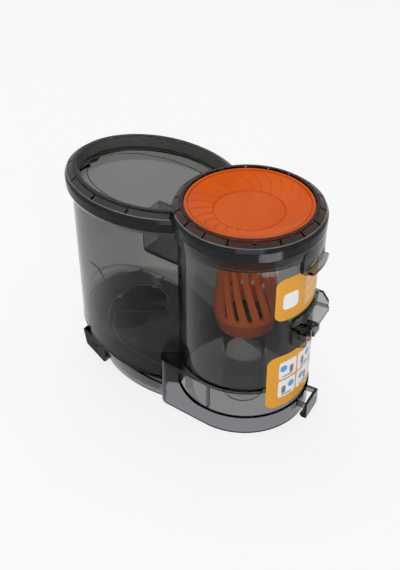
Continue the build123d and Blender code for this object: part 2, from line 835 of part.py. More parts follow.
# Inlet duct: cowl with a closed base on the tilted floor, brow over the flap, pipe below
cowl_drop = wall + seam
brow_rise = flap_hinge_rise + flap_barrel + flap_gap
hinge_depth = flap_barrel - flap_gap
pin_reach = sqrt(mouth_radius**2 - flap_hinge_rise**2) - cowl_wall / 2
hinge_line = Plane(
    origin=mouth_plane.from_local_coords((0, flap_hinge_rise, -hinge_depth)),
    x_dir=(0, 0, 1),
    z_dir=mouth_plane.x_dir,
)
with BuildPart() as inlet_duct:
    add(cowl_form(0, 0, cowl_drop))
    add(cowl_form(cowl_wall, cowl_wall, cowl_drop + cowl_wall), mode=Mode.SUBTRACT)
    with BuildSketch(mouth_plane.offset(-hinge_depth - cowl_wall / 2)):
        Circle(mouth_radius - cowl_wall / 2)
        with Locations((0, brow_rise)):
            Rectangle(
                2 * mouth_radius,
                mouth_radius,
                align=(Align.CENTER, Align.MIN),
                mode=Mode.INTERSECT,
            )
    extrude(amount=cowl_wall)
    with BuildSketch(hinge_line):
        Circle(pin_radius + pin_clearance)
    extrude(amount=pin_reach + cowl_wall, both=True, mode=Mode.SUBTRACT)
    with BuildSketch(Plane.XY.offset(inlet_bottom)):
        with Locations((inlet_x, inlet_y)):
            Circle(inlet_radius)
    extrude(until=Until.NEXT)
    with BuildSketch(Plane.XY.offset(inlet_bottom)):
        with Locations((inlet_x, inlet_y)):
            Circle(inlet_radius - cowl_wall)
    extrude(amount=cowl_spring + cowl_wall, mode=Mode.SUBTRACT)

with BuildPart() as inlet_gasket:
    ring_outside = inlet_radius + label_gap + gasket_thickness
    ring_seat = (inlet_x, inlet_y)
    add(tube(ring_outside, gasket_thickness, inlet_bottom, inlet_bottom + gasket_height, ring_seat))

# Inlet flap: an arched leaf on a barrel, hanging in the cowl's mouth
barrel_top = flap_hinge_rise + flap_barrel
leaf_radius = arch_inside - flap_side_gap
barrel_reach = sqrt(arch_inside**2 - barrel_top**2) - flap_gap
with BuildPart() as inlet_flap:
    with BuildSketch(mouth_plane.offset(-hinge_depth - flap_thickness / 2)):
        Circle(leaf_radius)
        with Locations((0, -cowl_spring / 2)):
            Rectangle(2 * leaf_radius, cowl_spring)
        with Locations((0, flap_hinge_rise)):
            Rectangle(
                4 * arch_inside,
                4 * arch_inside,
                align=(Align.CENTER, Align.MAX),
                mode=Mode.INTERSECT,
            )
    extrude(amount=flap_thickness)
    split(bisect_by=floor_plane.offset(cowl_drop + cowl_wall + flap_gap), keep=Keep.TOP)
    with BuildSketch(hinge_line):
        Circle(flap_barrel)
    extrude(amount=barrel_reach, both=True)
    with BuildSketch(hinge_line):
        Circle(pin_radius + pin_clearance)
    extrude(amount=2 * pin_reach, both=True, mode=Mode.SUBTRACT)

with BuildPart() as flap_pin:
    with BuildSketch(hinge_line):
        Circle(pin_radius)
    extrude(amount=pin_reach, both=True)

# Labels on the cyclone wall
label_inside = cyclone_radius + label_gap
with BuildPart() as upper_label:
    add(
        wrapped_panel(
            label_inside,
            label_thickness,
            upper_label_bottom,
            upper_label_height,
            upper_label_half_width,
            label_corner,
        )
    )

with BuildPart() as lower_label:
    add(
        wrapped_panel(
            label_inside,
            label_thickness,
            lower_label_bottom,
            lower_label_height,
            lower_label_half_width,
            label_corner,
        )
    )

pieces = {
    "bin_body": bin_body,
    "base_skirt": base_skirt,
    "top_cover": top_cover,
    "cyclone_seal": cyclone_seal,
    "dust_chamber_seal": dust_chamber_seal,
    "cyclone_cap": fluted_cap,
    "cap_o_ring": cap_o_ring,
    "vortex_cone": vortex_cone,
    "cone_seal": cone_seal,
    "outlet_tube": outlet_tube,
    "inlet_duct": inlet_duct,
    "inlet_gasket": inlet_gasket,
    "inlet_flap": inlet_flap,
    "flap_pin": flap_pin,
    "upper_label": upper_label,
    "lower_label": lower_label,
}
for name, piece in pieces.items():
    piece.part.label = name
    export_step(piece.part, f"parts/{name}.step")
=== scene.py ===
"""Looks of a see-through cyclone dust bin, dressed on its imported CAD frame.

The frame is the CAD model's: the origin on the cyclone axis in the plane that the base
stands on, +X from the dust chamber to the cyclone. Sizes of pieces are in millimetres,
and those of finishes, lamps, floor and camera in metres.
"""

import logging
import math
from dataclasses import dataclass, field
from enum import Enum
from typing import Any, ClassVar

import bpy
import numpy as np
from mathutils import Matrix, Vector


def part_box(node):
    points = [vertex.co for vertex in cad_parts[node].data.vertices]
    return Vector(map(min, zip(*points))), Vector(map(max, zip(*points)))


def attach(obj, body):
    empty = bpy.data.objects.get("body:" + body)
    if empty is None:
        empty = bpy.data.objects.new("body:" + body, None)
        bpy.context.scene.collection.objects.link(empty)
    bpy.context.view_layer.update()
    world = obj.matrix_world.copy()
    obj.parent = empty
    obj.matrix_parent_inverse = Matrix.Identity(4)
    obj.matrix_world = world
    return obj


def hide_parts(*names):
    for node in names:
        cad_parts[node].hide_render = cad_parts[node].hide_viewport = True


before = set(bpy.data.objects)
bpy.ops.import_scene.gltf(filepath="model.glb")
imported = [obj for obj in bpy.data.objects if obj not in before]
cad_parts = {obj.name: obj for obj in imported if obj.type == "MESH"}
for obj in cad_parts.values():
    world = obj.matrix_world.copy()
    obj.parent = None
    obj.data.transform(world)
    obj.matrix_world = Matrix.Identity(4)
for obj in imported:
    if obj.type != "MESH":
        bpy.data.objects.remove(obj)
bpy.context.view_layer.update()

Array = np.ndarray
Socket = bpy.types.NodeSocket
Pair = tuple[float, float]
Triple = tuple[float, float, float]
Colour = Triple
log = logging.getLogger("dust_bin")
MM = 0.001
WHITE: Colour = (1.0, 1.0, 1.0)


class Slot(Enum):
    """Material slots of the record; the chamber's marks list one for each piece, but nothing reads
    it.
    """

    SMOKE = "smoke_plastic"
    DARK = "dark_plastic"
    ORANGE = "orange_plastic"
    AMBER = "amber_label"


class Body(Enum):
    """Bodies of the CAD model that new pieces ride on."""

    BIN = "bin"
    COVER = "cover"
    CAP = "cap"


# Node trees


class Tree:
    """A short way to add nodes to one node tree and to link them."""

    def __init__(self, tree: bpy.types.NodeTree) -> None:
        """Start from an empty tree."""
        self.tree = tree
        self.tree.nodes.clear()

    def add(
        self, kind: str, values: dict[str | int, Any] | None = None, **options: Any
    ) -> bpy.types.Node:
        """Add a node, set its options, and fill its sockets.

        Args:
            kind: the node's type name.
            values: a number, a colour or another node's output for each named or
                numbered socket.
            options: plain properties of the node.

        Returns:
            The new node.
        """
        node = self.tree.nodes.new(kind)
        for name, value in options.items():
            setattr(node, name, value)
        for name, value in (values or {}).items():
            socket = node.inputs[name]
            if isinstance(value, Socket):
                self.tree.links.new(value, socket)
            elif isinstance(value, tuple) and len(value) == 3 and socket.type == "RGBA":
                socket.default_value = (*value, 1.0)
            else:
                socket.default_value = value
        return node

    def math(self, operation: str, first: Any, second: Any = 0.0, clamp: bool = False) -> Socket:
        """Return the output of a Math node on two values."""
        values = {0: first, 1: second}
        return self.add("ShaderNodeMath", values, operation=operation, use_clamp=clamp).outputs[0]

    def product(self, first: Any, *others: Any) -> Socket:
        """Return the product of several values.

        Args:
            first: the first number or output.
            others: the values that it is multiplied by in turn.

        Returns:
            The last product's output.
        """
        for value in others:
            first = self.math("MULTIPLY", first, value)
        return first

    def mix(self, share: Any, first: Any, second: Any) -> Socket:
        """Return a colour between two colours."""
        node = self.add("ShaderNodeMix", {0: share, 6: first, 7: second}, data_type="RGBA")
        return node.outputs[2]

    def ramp(
        self, value: Any, low: float, high: float, start: float = 0.0, end: float = 1.0
    ) -> Socket:
        """Return a value carried smoothly from one range to another and held at its ends."""
        values = {0: value, 1: low, 2: high, 3: start, 4: end}
        return self.add("ShaderNodeMapRange", values, interpolation_type="SMOOTHSTEP").outputs[0]

    def point(self, scale: Triple = (1.0, 1.0, 1.0)) -> Socket:
        """Return the point in the object's own frame, stretched by a scale."""
        place = self.add("ShaderNodeTexCoord").outputs["Object"]
        return self.add("ShaderNodeMapping", {"Vector": place, "Scale": scale}).outputs[0]

    def noise(self, point: Socket, scale: Any, detail: float = 2.0) -> Socket:
        """Return soft noise from 0 to 1 at a point."""
        values = {"Vector": point, "Scale": scale, "Detail": detail}
        return self.add("ShaderNodeTexNoise", values).outputs[0]

    def seen(self) -> Socket:
        """Return 1 for a ray from the camera or by way of a gloss or glass, and 0 for others.

        Returns:
            The sum of the three kinds of ray, held at 1.
        """
        ray = self.add("ShaderNodeLightPath").outputs
        direct = self.math("ADD", ray["Is Camera Ray"], ray["Is Glossy Ray"])
        return self.math("ADD", direct, ray["Is Transmission Ray"], clamp=True)


class Effects:
    """Shader node groups that more than one finish uses, each built once."""

    WAVE_SCALE: ClassVar[float] = 38.0
    GRAIN_SCALE: ClassVar[float] = 2600.0
    GRAIN_SHARE: ClassVar[float] = 0.05
    HAIR_STRETCH: ClassVar[Triple] = (900.0, 900.0, 26.0)
    HAIR_RANGE: ClassVar[Pair] = (0.6, 0.74)
    PATCH_SCALE: ClassVar[float] = 55.0
    PATCH_RANGE: ClassVar[Pair] = (0.45, 0.7)
    HAZE_SHARE: ClassVar[float] = 0.35
    SPECK_RANGE: ClassVar[Pair] = (0.42, 0.72)
    CLOUD_SCALE: ClassVar[float] = 42.0
    CLOUD_RANGE: ClassVar[Pair] = (0.35, 0.7)
    UPWARD_RANGE: ClassVar[Pair] = (-0.2, 1.0)
    SIDE_SHARE: ClassVar[float] = 0.35
    _made: ClassVar[dict[str, bpy.types.NodeTree]] = {}

    @classmethod
    def _group(
        cls, name: str, inputs: dict[str, float], outputs: tuple[str, ...]
    ) -> tuple[Tree, bpy.types.Node]:
        """Start a group with number inputs and number outputs.

        Args:
            name: the group's name.
            inputs: default value of each input.
            outputs: names of the outputs.

        Returns:
            The open tree and its group input node.
        """
        group = bpy.data.node_groups.new(name, "ShaderNodeTree")
        tree = Tree(group)
        for key, value in inputs.items():
            socket = group.interface.new_socket(key, in_out="INPUT", socket_type="NodeSocketFloat")
            socket.default_value = value
        for key in outputs:
            group.interface.new_socket(key, in_out="OUTPUT", socket_type="NodeSocketFloat")
        cls._made[name] = group
        return tree, tree.add("NodeGroupInput")

    @classmethod
    def moulded_skin(cls) -> bpy.types.NodeTree:
        """Return the group for a moulded plastic's skin.

        Broad soft waves stand for the flow of the plastic in its mould, fine grain for
        the tool's polish, and thin stretched noise for hairline scuffs from handling.

        Returns:
            A group that puts out Roughness and Height.
        """
        name = "moulded_skin"
        if name in cls._made:
            return cls._made[name]
        inputs = {"Roughness": 0.05, "Scuffs": 0.05, "Grain": 0.1, "Waves": 0.5}
        tree, given = cls._group(name, inputs, ("Roughness", "Height"))
        point, scuffs = tree.point(), given.outputs["Scuffs"]
        waves = tree.noise(point, cls.WAVE_SCALE, detail=1.0)
        grain = tree.noise(point, cls.GRAIN_SCALE)
        hair = tree.noise(tree.point(cls.HAIR_STRETCH), 1.0, detail=3.0)
        patch = tree.ramp(tree.noise(point, cls.PATCH_SCALE), *cls.PATCH_RANGE)
        worn = tree.product(tree.ramp(hair, *cls.HAIR_RANGE), patch, scuffs)
        haze = tree.product(patch, cls.HAZE_SHARE, scuffs)
        rough = tree.math("ADD", given.outputs["Roughness"], worn)
        rough = tree.math("ADD", rough, haze, clamp=True)
        low = tree.product(waves, given.outputs["Waves"])
        high = tree.product(grain, tree.product(given.outputs["Grain"], cls.GRAIN_SHARE))
        tree.add("NodeGroupOutput", {"Roughness": rough, "Height": tree.math("ADD", low, high)})
        return cls._made[name]

    @classmethod
    def settled_dust(cls) -> bpy.types.NodeTree:
        """Return the group for fine dust, heavier on faces that look up.

        Returns:
            A group that puts out Mask, from 0 for clean to 1 for dusty.
        """
        name = "settled_dust"
        if name in cls._made:
            return cls._made[name]
        tree, given = cls._group(name, {"Amount": 0.2, "Scale": 900.0}, ("Mask",))
        point = tree.point()
        specks = tree.noise(point, given.outputs["Scale"], detail=4.0)
        clouds = tree.noise(point, cls.CLOUD_SCALE, detail=3.0)
        normal = tree.add("ShaderNodeNewGeometry").outputs["Normal"]
        upward = tree.add("ShaderNodeSeparateXYZ", {0: normal}).outputs["Z"]
        lying = tree.ramp(upward, *cls.UPWARD_RANGE, start=cls.SIDE_SHARE)
        spots = tree.ramp(specks, *cls.SPECK_RANGE)
        spotted = tree.product(spots, tree.ramp(clouds, *cls.CLOUD_RANGE), lying)
        amount = tree.math("MULTIPLY", spotted, given.outputs["Amount"], clamp=True)
        tree.add("NodeGroupOutput", {"Mask": amount})
        return cls._made[name]

    @classmethod
    def skin(
        cls, tree: Tree, roughness: float, scuffs: float, grain: float, waves: float
    ) -> bpy.types.Node:
        """Place the moulded skin in a material's tree with its own values."""
        values = {"Roughness": roughness, "Scuffs": scuffs, "Grain": grain, "Waves": waves}
        return tree.add("ShaderNodeGroup", values, node_tree=cls.moulded_skin())

    @classmethod
    def dust(cls, tree: Tree, amount: float, scale: float) -> Socket:
        """Place the settled dust in a material's tree and return its mask."""
        values = {"Amount": amount, "Scale": scale}
        return tree.add("ShaderNodeGroup", values, node_tree=cls.settled_dust()).outputs["Mask"]


def new_material(name: str) -> tuple[bpy.types.Material, Tree]:
    """Start a node material.

    Args:
        name: the material's name.

    Returns:
        The material and its empty tree.
    """
    material = bpy.data.materials.new(name)
    material.use_nodes = True
    return material, Tree(material.node_tree)


def shade(
    tree: Tree,
    tone: Any,
    skin: bpy.types.Node,
    depth: float,
    values: dict[str, Any] | None = None,
    strength: float = 1.0,
) -> bpy.types.Node:
    """Add a material's shader, with the roughness and the bump of its skin, and its output.

    Args:
        tree: the material's tree.
        tone: its colour.
        skin: the placed moulded skin.
        depth: height of the bump in metres.
        values: other sockets of the shader, or values in place of the skin's own.
        strength: strength of the bump.

    Returns:
        The output node, with its surface filled.
    """
    height = {"Height": skin.outputs["Height"], "Distance": depth, "Strength": strength}
    bump = tree.add("ShaderNodeBump", height)
    roughness = skin.outputs["Roughness"]
    sockets = {"Base Color": tone, "Roughness": roughness, "Normal": bump.outputs[0]}
    shader = tree.add("ShaderNodeBsdfPrincipled", sockets | (values or {}))
    return tree.add("ShaderNodeOutputMaterial", {"Surface": shader.outputs[0]})


# Finishes


@dataclass(frozen=True)
class TintZone:
    """A zone painted darker on a moulding, mostly as painted shade: a range along X and of heights,
    outside a clear middle.

    The clear middle is round the Z axis, and all limits are in metres.
    """

    tone: Colour
    along: Pair = (-1.0, 1.0)
    heights: Pair = (-1.0, 1.0)
    inner: float = -1.0
    edge: float = 0.002

    def mask(self, tree: Tree) -> Socket:
        """Return 1 inside the zone and 0 outside it.

        The mask is the product of a smooth step at each limit, two edges wide.

        Args:
            tree: the material's tree.

        Returns:
            The mask's output.
        """
        parts = tree.add("ShaderNodeSeparateXYZ", {0: tree.point()}).outputs
        x_square, y_square = (tree.math("POWER", parts[axis], 2.0) for axis in "XY")
        radius = tree.math("SQRT", tree.math("ADD", x_square, y_square))
        share = tree.ramp(radius, self.inner - self.edge, self.inner + self.edge)
        for value, (low, high) in ((parts["X"], self.along), (parts["Z"], self.heights)):
            rise = tree.ramp(value, low - self.edge, low + self.edge)
            fall = tree.ramp(value, high - self.edge, high + self.edge, 1.0, 0.0)
            share = tree.product(share, rise, fall)
        return share

    @staticmethod
    def laid(tree: Tree, tone: Any, zones: tuple["TintZone", ...]) -> Any:
        """Lay the tone of each zone over a colour in turn.

        Args:
            tree: the material's tree.
            tone: the colour without zones.
            zones: the zones, each over the ones before it.

        Returns:
            The colour with its zones.
        """
        for zone in zones:
            tone = tree.mix(zone.mask(tree), tone, zone.tone)
        return tone


@dataclass(frozen=True)
class SeeThroughPlastic:
    """Glossy see-through moulding: clear plastic that swallows light along its thickness."""

    name: str
    passed: Colour
    density: float
    zones: tuple[TintZone, ...] = ()
    bend: float = 1.49
    gleam: Colour = (0.17, 0.18, 0.2)
    roughness: float = 0.03
    scuffs: float = 0.12
    grain: float = 0.02
    waves: float = 1.0
    depth: float = 0.00006
    dust: Pair = (0.16, 1200.0)
    dust_tone: Colour = (0.78, 0.77, 0.74)
    dust_roughness: float = 0.2

    def build(self) -> bpy.types.Material:
        """Build glass with plain absorption, a moulded skin, a little dust and darker zones of
        painted shade.

        Returns:
            The material.
        """
        material, tree = new_material(self.name)
        skin = Effects.skin(tree, self.roughness, self.scuffs, self.grain, self.waves)
        dust = Effects.dust(tree, *self.dust)
        dull = tree.product(dust, self.dust_roughness)
        # The zones lay painted shade into the glass's base colour.
        tone = tree.mix(dust, TintZone.laid(tree, WHITE, self.zones), self.dust_tone)
        values = {
            "Roughness": tree.math("ADD", skin.outputs["Roughness"], dull, clamp=True),
            "IOR": self.bend,
            "Specular Tint": self.gleam,
            "Transmission Weight": 1.0,
        }
        output = shade(tree, tone, skin, self.depth, values)
        absorbed = {"Color": self.passed, "Density": self.density}
        swallow = tree.add("ShaderNodeVolumeAbsorption", absorbed)
        tree.tree.links.new(swallow.outputs[0], output.inputs["Volume"])
        return material


@dataclass(frozen=True)
class MouldedPlastic:
    """Opaque satin moulding with a slight mottle in its colour."""

    name: str
    colour: Colour
    deep: Colour
    roughness: float = 0.3
    grain: float = 0.2
    dust: float = 0.03
    gleam: float = 0.15
    zones: tuple[TintZone, ...] = ()
    bend: float = 1.5
    scuffs: float = 0.16
    waves: float = 0.6
    depth: float = 0.00012
    strength: float = 0.7
    mottle_scale: float = 70.0
    dust_scale: float = 1500.0
    dust_tone: Colour = (0.62, 0.6, 0.56)

    def build(self) -> bpy.types.Material:
        """Build a plastic with mottle, grain, scuffs, a little dust and darker zones.

        Returns:
            The material.
        """
        material, tree = new_material(self.name)
        skin = Effects.skin(tree, self.roughness, self.scuffs, self.grain, self.waves)
        dust = Effects.dust(tree, self.dust, self.dust_scale)
        mottle = tree.ramp(tree.noise(tree.point(), self.mottle_scale, detail=4.0), 0.3, 0.7)
        body = TintZone.laid(tree, tree.mix(mottle, self.deep, self.colour), self.zones)
        values = {"IOR": self.bend, "Specular IOR Level": self.gleam}
        tone = tree.mix(dust, body, self.dust_tone)
        shade(tree, tone, skin, self.depth, values, self.strength)
        return material


@dataclass(frozen=True)
class Rubber:
    """Moulded black rubber with a dull bloom."""

    name: str
    colour: Colour = (0.012, 0.013, 0.013)
    bloom: Colour = (0.05, 0.05, 0.048)
    bloom_dust: Pair = (0.7, 700.0)
    roughness: float = 0.55
    scuffs: float = 0.2
    grain: float = 1.0
    waves: float = 0.3
    depth: float = 0.0002

    def build(self) -> bpy.types.Material:
        """Build a dark body under patches of pale bloom.

        Returns:
            The material.
        """
        material, tree = new_material(self.name)
        skin = Effects.skin(tree, self.roughness, self.scuffs, self.grain, self.waves)
        tone = tree.mix(Effects.dust(tree, *self.bloom_dust), self.colour, self.bloom)
        shade(tree, tone, skin, self.depth)
        return material


@dataclass(frozen=True)
class PrintedFilm:
    """Ink on a sticker: flat colour with fine print dots, under a thin clear film."""

    name: str
    colour: Colour
    dots: Colour
    roughness: float = 0.3
    dot_scale: float = 2600.0
    dot_scatter: float = 0.35
    cloud_scale: float = 90.0
    gleam: float = 0.2
    scuffs: float = 0.1
    grain: float = 0.3
    waves: float = 0.4
    depth: float = 0.00005

    def build(self) -> bpy.types.Material:
        """Build two inks, mixed by a fine dot pattern and soft unevenness.

        Returns:
            The material.
        """
        material, tree = new_material(self.name)
        point = tree.point()
        cells = {"Vector": point, "Scale": self.dot_scale, "Randomness": self.dot_scatter}
        screen = tree.ramp(tree.add("ShaderNodeTexVoronoi", cells).outputs[0], 0.2, 0.6)
        clouds = tree.ramp(tree.noise(point, self.cloud_scale, detail=3.0), 0.2, 0.8, start=0.4)
        tone = tree.mix(tree.product(screen, clouds), self.colour, self.dots)
        skin = Effects.skin(tree, self.roughness, self.scuffs, self.grain, self.waves)
        shade(tree, tone, skin, self.depth, {"Specular IOR Level": self.gleam})
        return material


@dataclass(frozen=True)
class PlatedSteel:
    """Bright plated steel with an uneven polish."""

    name: str
    colour: Colour = (0.62, 0.62, 0.64)
    dull: Colour = (0.42, 0.41, 0.4)
    cloud_scale: float = 700.0
    roughness: float = 0.28
    scuffs: float = 0.3
    grain: float = 0.6
    waves: float = 0.2
    depth: float = 0.00006

    def build(self) -> bpy.types.Material:
        """Build a metal that is duller in places.

        Returns:
            The material.
        """
        material, tree = new_material(self.name)
        skin = Effects.skin(tree, self.roughness, self.scuffs, self.grain, self.waves)
        clouds = tree.ramp(tree.noise(tree.point(), self.cloud_scale, detail=3.0), 0.35, 0.7)
        tone = tree.mix(clouds, self.colour, self.dull)
        shade(tree, tone, skin, self.depth, {"Metallic": 1.0})
        return material


Finish = SeeThroughPlastic | MouldedPlastic | Rubber | PrintedFilm | PlatedSteel


class Palette:
    """All finishes of the bin, each built when it is first asked for."""

    SMOKE: ClassVar[Colour] = (0.03, 0.05, 0.0)
    FINISHES: ClassVar[dict[str, Finish]] = {
        "smoke": SeeThroughPlastic("smoke_plastic", SMOKE, 480.0),
        # Painted shade: the body is darker below 33.5 mm, and on the dust chamber's wall above 70
        # mm.
        "smoke_body": SeeThroughPlastic(
            "smoke_body", SMOKE, 400.0,
            zones=(
                TintZone((0.62, 0.62, 0.64), heights=(-1.0, 0.0335)),
                TintZone((0.83, 0.83, 0.85), along=(-1.0, -0.044), heights=(0.07, 1.0), edge=0.01),
            ),
        ),
        # Painted shade: the skirt is darker under the dust chamber.
        "smoke_base": SeeThroughPlastic(
            "smoke_base", (0.0, 0.01, 0.05), 620.0,
            zones=(TintZone((0.36, 0.36, 0.37), along=(-1.0, -0.038), heights=(0.004, 1.0)),),
        ),
        "smoke_thick": SeeThroughPlastic("smoke_thick", (0.0, 0.02, 0.02), 900.0),
        # Painted shade: the outlet tube is darker round its foot and up to 80 mm.
        "clear": SeeThroughPlastic(
            "clear_plastic", (0.02, 0.04, 0.0), 80.0,
            zones=(
                TintZone((0.3, 0.3, 0.29), heights=(0.0335, 0.0362), inner=0.011, edge=0.0003),
                TintZone((0.14, 0.141, 0.137), heights=(-1.0, 0.0354), inner=0.0136, edge=0.0003),
                TintZone((0.34, 0.34, 0.33), heights=(0.0358, 0.08), edge=0.0003),
            ),
        ),
        "dark": MouldedPlastic(
            "dark_plastic", (0.05, 0.056, 0.068), (0.036, 0.041, 0.05),
            roughness=0.2, dust=0.06, gleam=0.4,
        ),
        "flap": MouldedPlastic(
            "flap_plastic", (0.012, 0.013, 0.016), (0.008, 0.009, 0.011),
            roughness=0.25, gleam=0.2,
        ),
        # Pale blue-grey: a painted highlight along the cowl's mouth and the pan's edge.
        "lip": MouldedPlastic(
            "lip_painted_highlight", (0.2, 0.22, 0.26), (0.16, 0.18, 0.21), roughness=0.25, gleam=0.5
        ),
        "orange": MouldedPlastic(
            "orange_plastic", (0.66, 0.1, 0.002), (0.61, 0.087, 0.0015),
            roughness=0.32, grain=0.4, dust=0.02, gleam=0.1,
        ),
        # A brighter copy of the cap's orange: painted light that makes up for light lost through
        # the walls. Darker below 66.8 mm.
        "orange_cone": MouldedPlastic(
            "orange_cone", (0.82, 0.16, 0.017), (0.76, 0.14, 0.014),
            roughness=0.34, grain=0.4, gleam=0.3,
            zones=(TintZone((0.5, 0.11, 0.03), heights=(-1.0, 0.0668), edge=0.0002),),
        ),
        # Painted light: the orange cap's colour seen through the ring collar.
        "brown_cap_light_band": MouldedPlastic("brown_cap_light_band", (0.052, 0.025, 0.018), (0.034, 0.017, 0.013)),
        # Painted shade on the oval collar's slope; also the panel's field line.
        "olive_band": MouldedPlastic("olive_band", (0.043, 0.043, 0.037), (0.031, 0.031, 0.027)),
        # Painted shade on the oval recess's inner wall.
        "olive_wall_shade": MouldedPlastic("olive_wall_shade", (0.09, 0.09, 0.08), (0.076, 0.076, 0.068)),
        # Dark satin: the seals seen through the collars with painted shade below them, and the
        # chamber's foot seam.
        "dark_satin_band": MouldedPlastic(
            "dark_satin_band", (0.012, 0.013, 0.016), (0.009, 0.01, 0.012),
            roughness=0.12, grain=0.1, dust=0.02, gleam=0.12,
        ),
        "pan": MouldedPlastic(
            "pan_plastic", (0.075, 0.08, 0.09), (0.06, 0.065, 0.072),
            roughness=0.25, dust=0.05, gleam=0.3,
        ),
        # Pale grey: a painted highlight along the collar ridges and the chamber's ribs.
        "ridge": MouldedPlastic(
            "ridge_painted_highlight", (0.2, 0.2, 0.19), (0.14, 0.14, 0.135),
            roughness=0.25, grain=0.1, gleam=0.3,
        ),
        "rubber": Rubber("black_rubber"),
        "grey_rubber": Rubber("grey_rubber", (0.06, 0.06, 0.056), (0.09, 0.09, 0.086)),
        "amber": PrintedFilm("amber_film", (0.74, 0.35, 0.03), (0.7, 0.31, 0.022)),
        "white": PrintedFilm("white_ink", (0.82, 0.83, 0.85), (0.78, 0.79, 0.82)),
        "pale": PrintedFilm("pale_ink", (0.8, 0.66, 0.42), (0.76, 0.6, 0.34)),
        "blue": PrintedFilm("blue_ink", (0.05, 0.3, 0.66), (0.09, 0.38, 0.72)),
        "grey": PrintedFilm("grey_ink", (0.3, 0.28, 0.24), (0.26, 0.24, 0.2)),
        "ink": PrintedFilm("dark_ink", (0.16, 0.17, 0.19), (0.2, 0.21, 0.23)),
        "black_ink": PrintedFilm(
            "black_ink", (0.012, 0.012, 0.012), (0.03, 0.03, 0.03), roughness=0.4
        ),
        "steel": PlatedSteel("plated_steel"),
    }

    def __init__(self) -> None:
        """Start with no material built."""
        self._built: dict[str, bpy.types.Material] = {}

    def __getitem__(self, key: str) -> bpy.types.Material:
        """Return the material of a finish.

        Args:
            key: the finish's name in the palette.

        Returns:
            The material, built on the first call.
        """
        if key not in self._built:
            self._built[key] = self.FINISHES[key].build()
        return self._built[key]


# Surfaces


def grid_faces(rows: int, columns: int, wrap_rows: bool, wrap_columns: bool) -> Array:
    """Return the corner numbers of the four-sided faces of a grid of points.

    Args:
        rows: number of points along the first parameter.
        columns: number of points along the second parameter.
        wrap_rows: the last row joins the first.
        wrap_columns: the last column joins the first.

    Returns:
        An array of faces by four corners.
    """
    row = np.arange(rows if wrap_rows else rows - 1)[:, None]
    column = np.arange(columns if wrap_columns else columns - 1)[None, :]
    next_row, next_column = (row + 1) % rows, (column + 1) % columns
    corners = [
        row * columns + column,
        next_row * columns + column,
        next_row * columns + next_column,
        row * columns + next_column,
    ]
    return np.stack(corners, axis=-1).reshape(-1, 4)


@dataclass
class Surface:
    """Points with the corner numbers of their four-sided and three-sided faces."""

    points: Array
    quads: Array
    triangles: Array = field(default_factory=lambda: np.zeros((0, 3), dtype=int))

    @classmethod
    def joined(cls, surfaces: list["Surface"]) -> "Surface":
        """Return several surfaces as one.

        Args:
            surfaces: the surfaces, in order.

        Returns:
            One surface, with the corner numbers of each moved on past those before it.
        """
        starts = np.cumsum([0] + [len(each.points) for each in surfaces[:-1]])
        return cls(
            np.concatenate([each.points for each in surfaces]),
            np.concatenate([each.quads + start for each, start in zip(surfaces, starts)]),
            np.concatenate([each.triangles + start for each, start in zip(surfaces, starts)]),
        )

    def mesh(self, name: str, smooth: float = 35.0) -> bpy.types.Mesh:
        """Return the surface as a mesh.

        Args:
            name: the mesh's name.
            smooth: angle in degrees past which an edge stays sharp.

        Returns:
            The mesh, with its points scaled from millimetres to metres.
        """
        mesh = bpy.data.meshes.new(name)
        faces = self.quads.tolist() + self.triangles.tolist()
        mesh.from_pydata((self.points * MM).tolist(), [], faces)
        mesh.polygons.foreach_set("use_smooth", np.ones(len(mesh.polygons), dtype=bool))
        mesh.set_sharp_from_angle(angle=math.radians(smooth))
        mesh.update()
        return mesh


def capped(rings: Array, start: Array, end: Array | None = None) -> Surface:
    """Return rings of points joined into a skin, with a fan to a pole at one end or both.

    Args:
        rings: rows of closed rings, each running anticlockwise about the outward way.
        start: the pole before the first ring.
        end: the pole after the last ring, or None to leave that end open.

    Returns:
        The closed surface, or one that is open at its last ring.
    """
    rows, columns = rings.shape[:2]
    near = np.arange(columns)
    after = (near + 1) % columns
    poles, last = [start], (rows - 1) * columns
    first_pole = np.full(columns, rows * columns)
    fans = [np.stack([first_pole, near, after], axis=-1)]
    if end is not None:
        poles.append(end)
        fans.append(np.stack([first_pole + 1, last + after, last + near], axis=-1))
    points = np.concatenate([rings.reshape(-1, 3), np.array(poles)])
    return Surface(points, grid_faces(rows, columns, False, True), np.concatenate(fans))


def turned(profile: Array, turn: Array, lift: Array) -> Surface:
    """Return a profile turned about the Z axis, its height lifted from place to place.

    A point is (radius cos turn, radius sin turn, height + lift).

    Args:
        profile: radius and height of each ring, from the axis and back to the axis.
        turn: angle of each point, by ring and column, without the two ends on the axis.
        lift: height added to each of those points.

    Returns:
        The closed surface.
    """
    radius, height = profile[1:-1, 0, None], profile[1:-1, 1, None]
    rings = np.stack([radius * np.cos(turn), radius * np.sin(turn), height + lift], axis=-1)
    start, end = (np.array([0.0, 0.0, profile[row, 1]]) for row in (0, -1))
    return capped(rings, start, end)


def carried(path: Array, outward: Array, section: Array) -> Surface:
    """Return a four-cornered section carried along a path, closed at both ends.

    A point is the path's point + across times the side way + up times the outward way,
    where the side way is square to the outward way and to the path.

    Args:
        path: points of the path.
        outward: way out of the wall, for each point or one for all.
        section: across and up of the four corners, its upper edge first.

    Returns:
        The closed surface.
    """
    outward = np.broadcast_to(outward, path.shape)
    side = np.cross(outward, np.gradient(path, axis=0))
    side /= np.linalg.norm(side, axis=-1, keepdims=True)
    across, up = section[None, :, :1], section[None, :, 1:]
    points = path[:, None] + across * side[:, None] + up * outward[:, None]
    rows, columns = points.shape[:2]
    corner = np.arange(columns)
    ends = np.array([corner, (rows - 1) * columns + corner[::-1]])
    quads = np.concatenate([grid_faces(rows, columns, False, True), ends])
    return Surface(points.reshape(-1, 3), quads)


def bar_section(width: float, low: float, high: float) -> Array:
    """Return a flat bar's section: its upper edge, then its lower edge."""
    half = width / 2
    return np.array([[-half, high], [half, high], [half, low], [-half, low]])


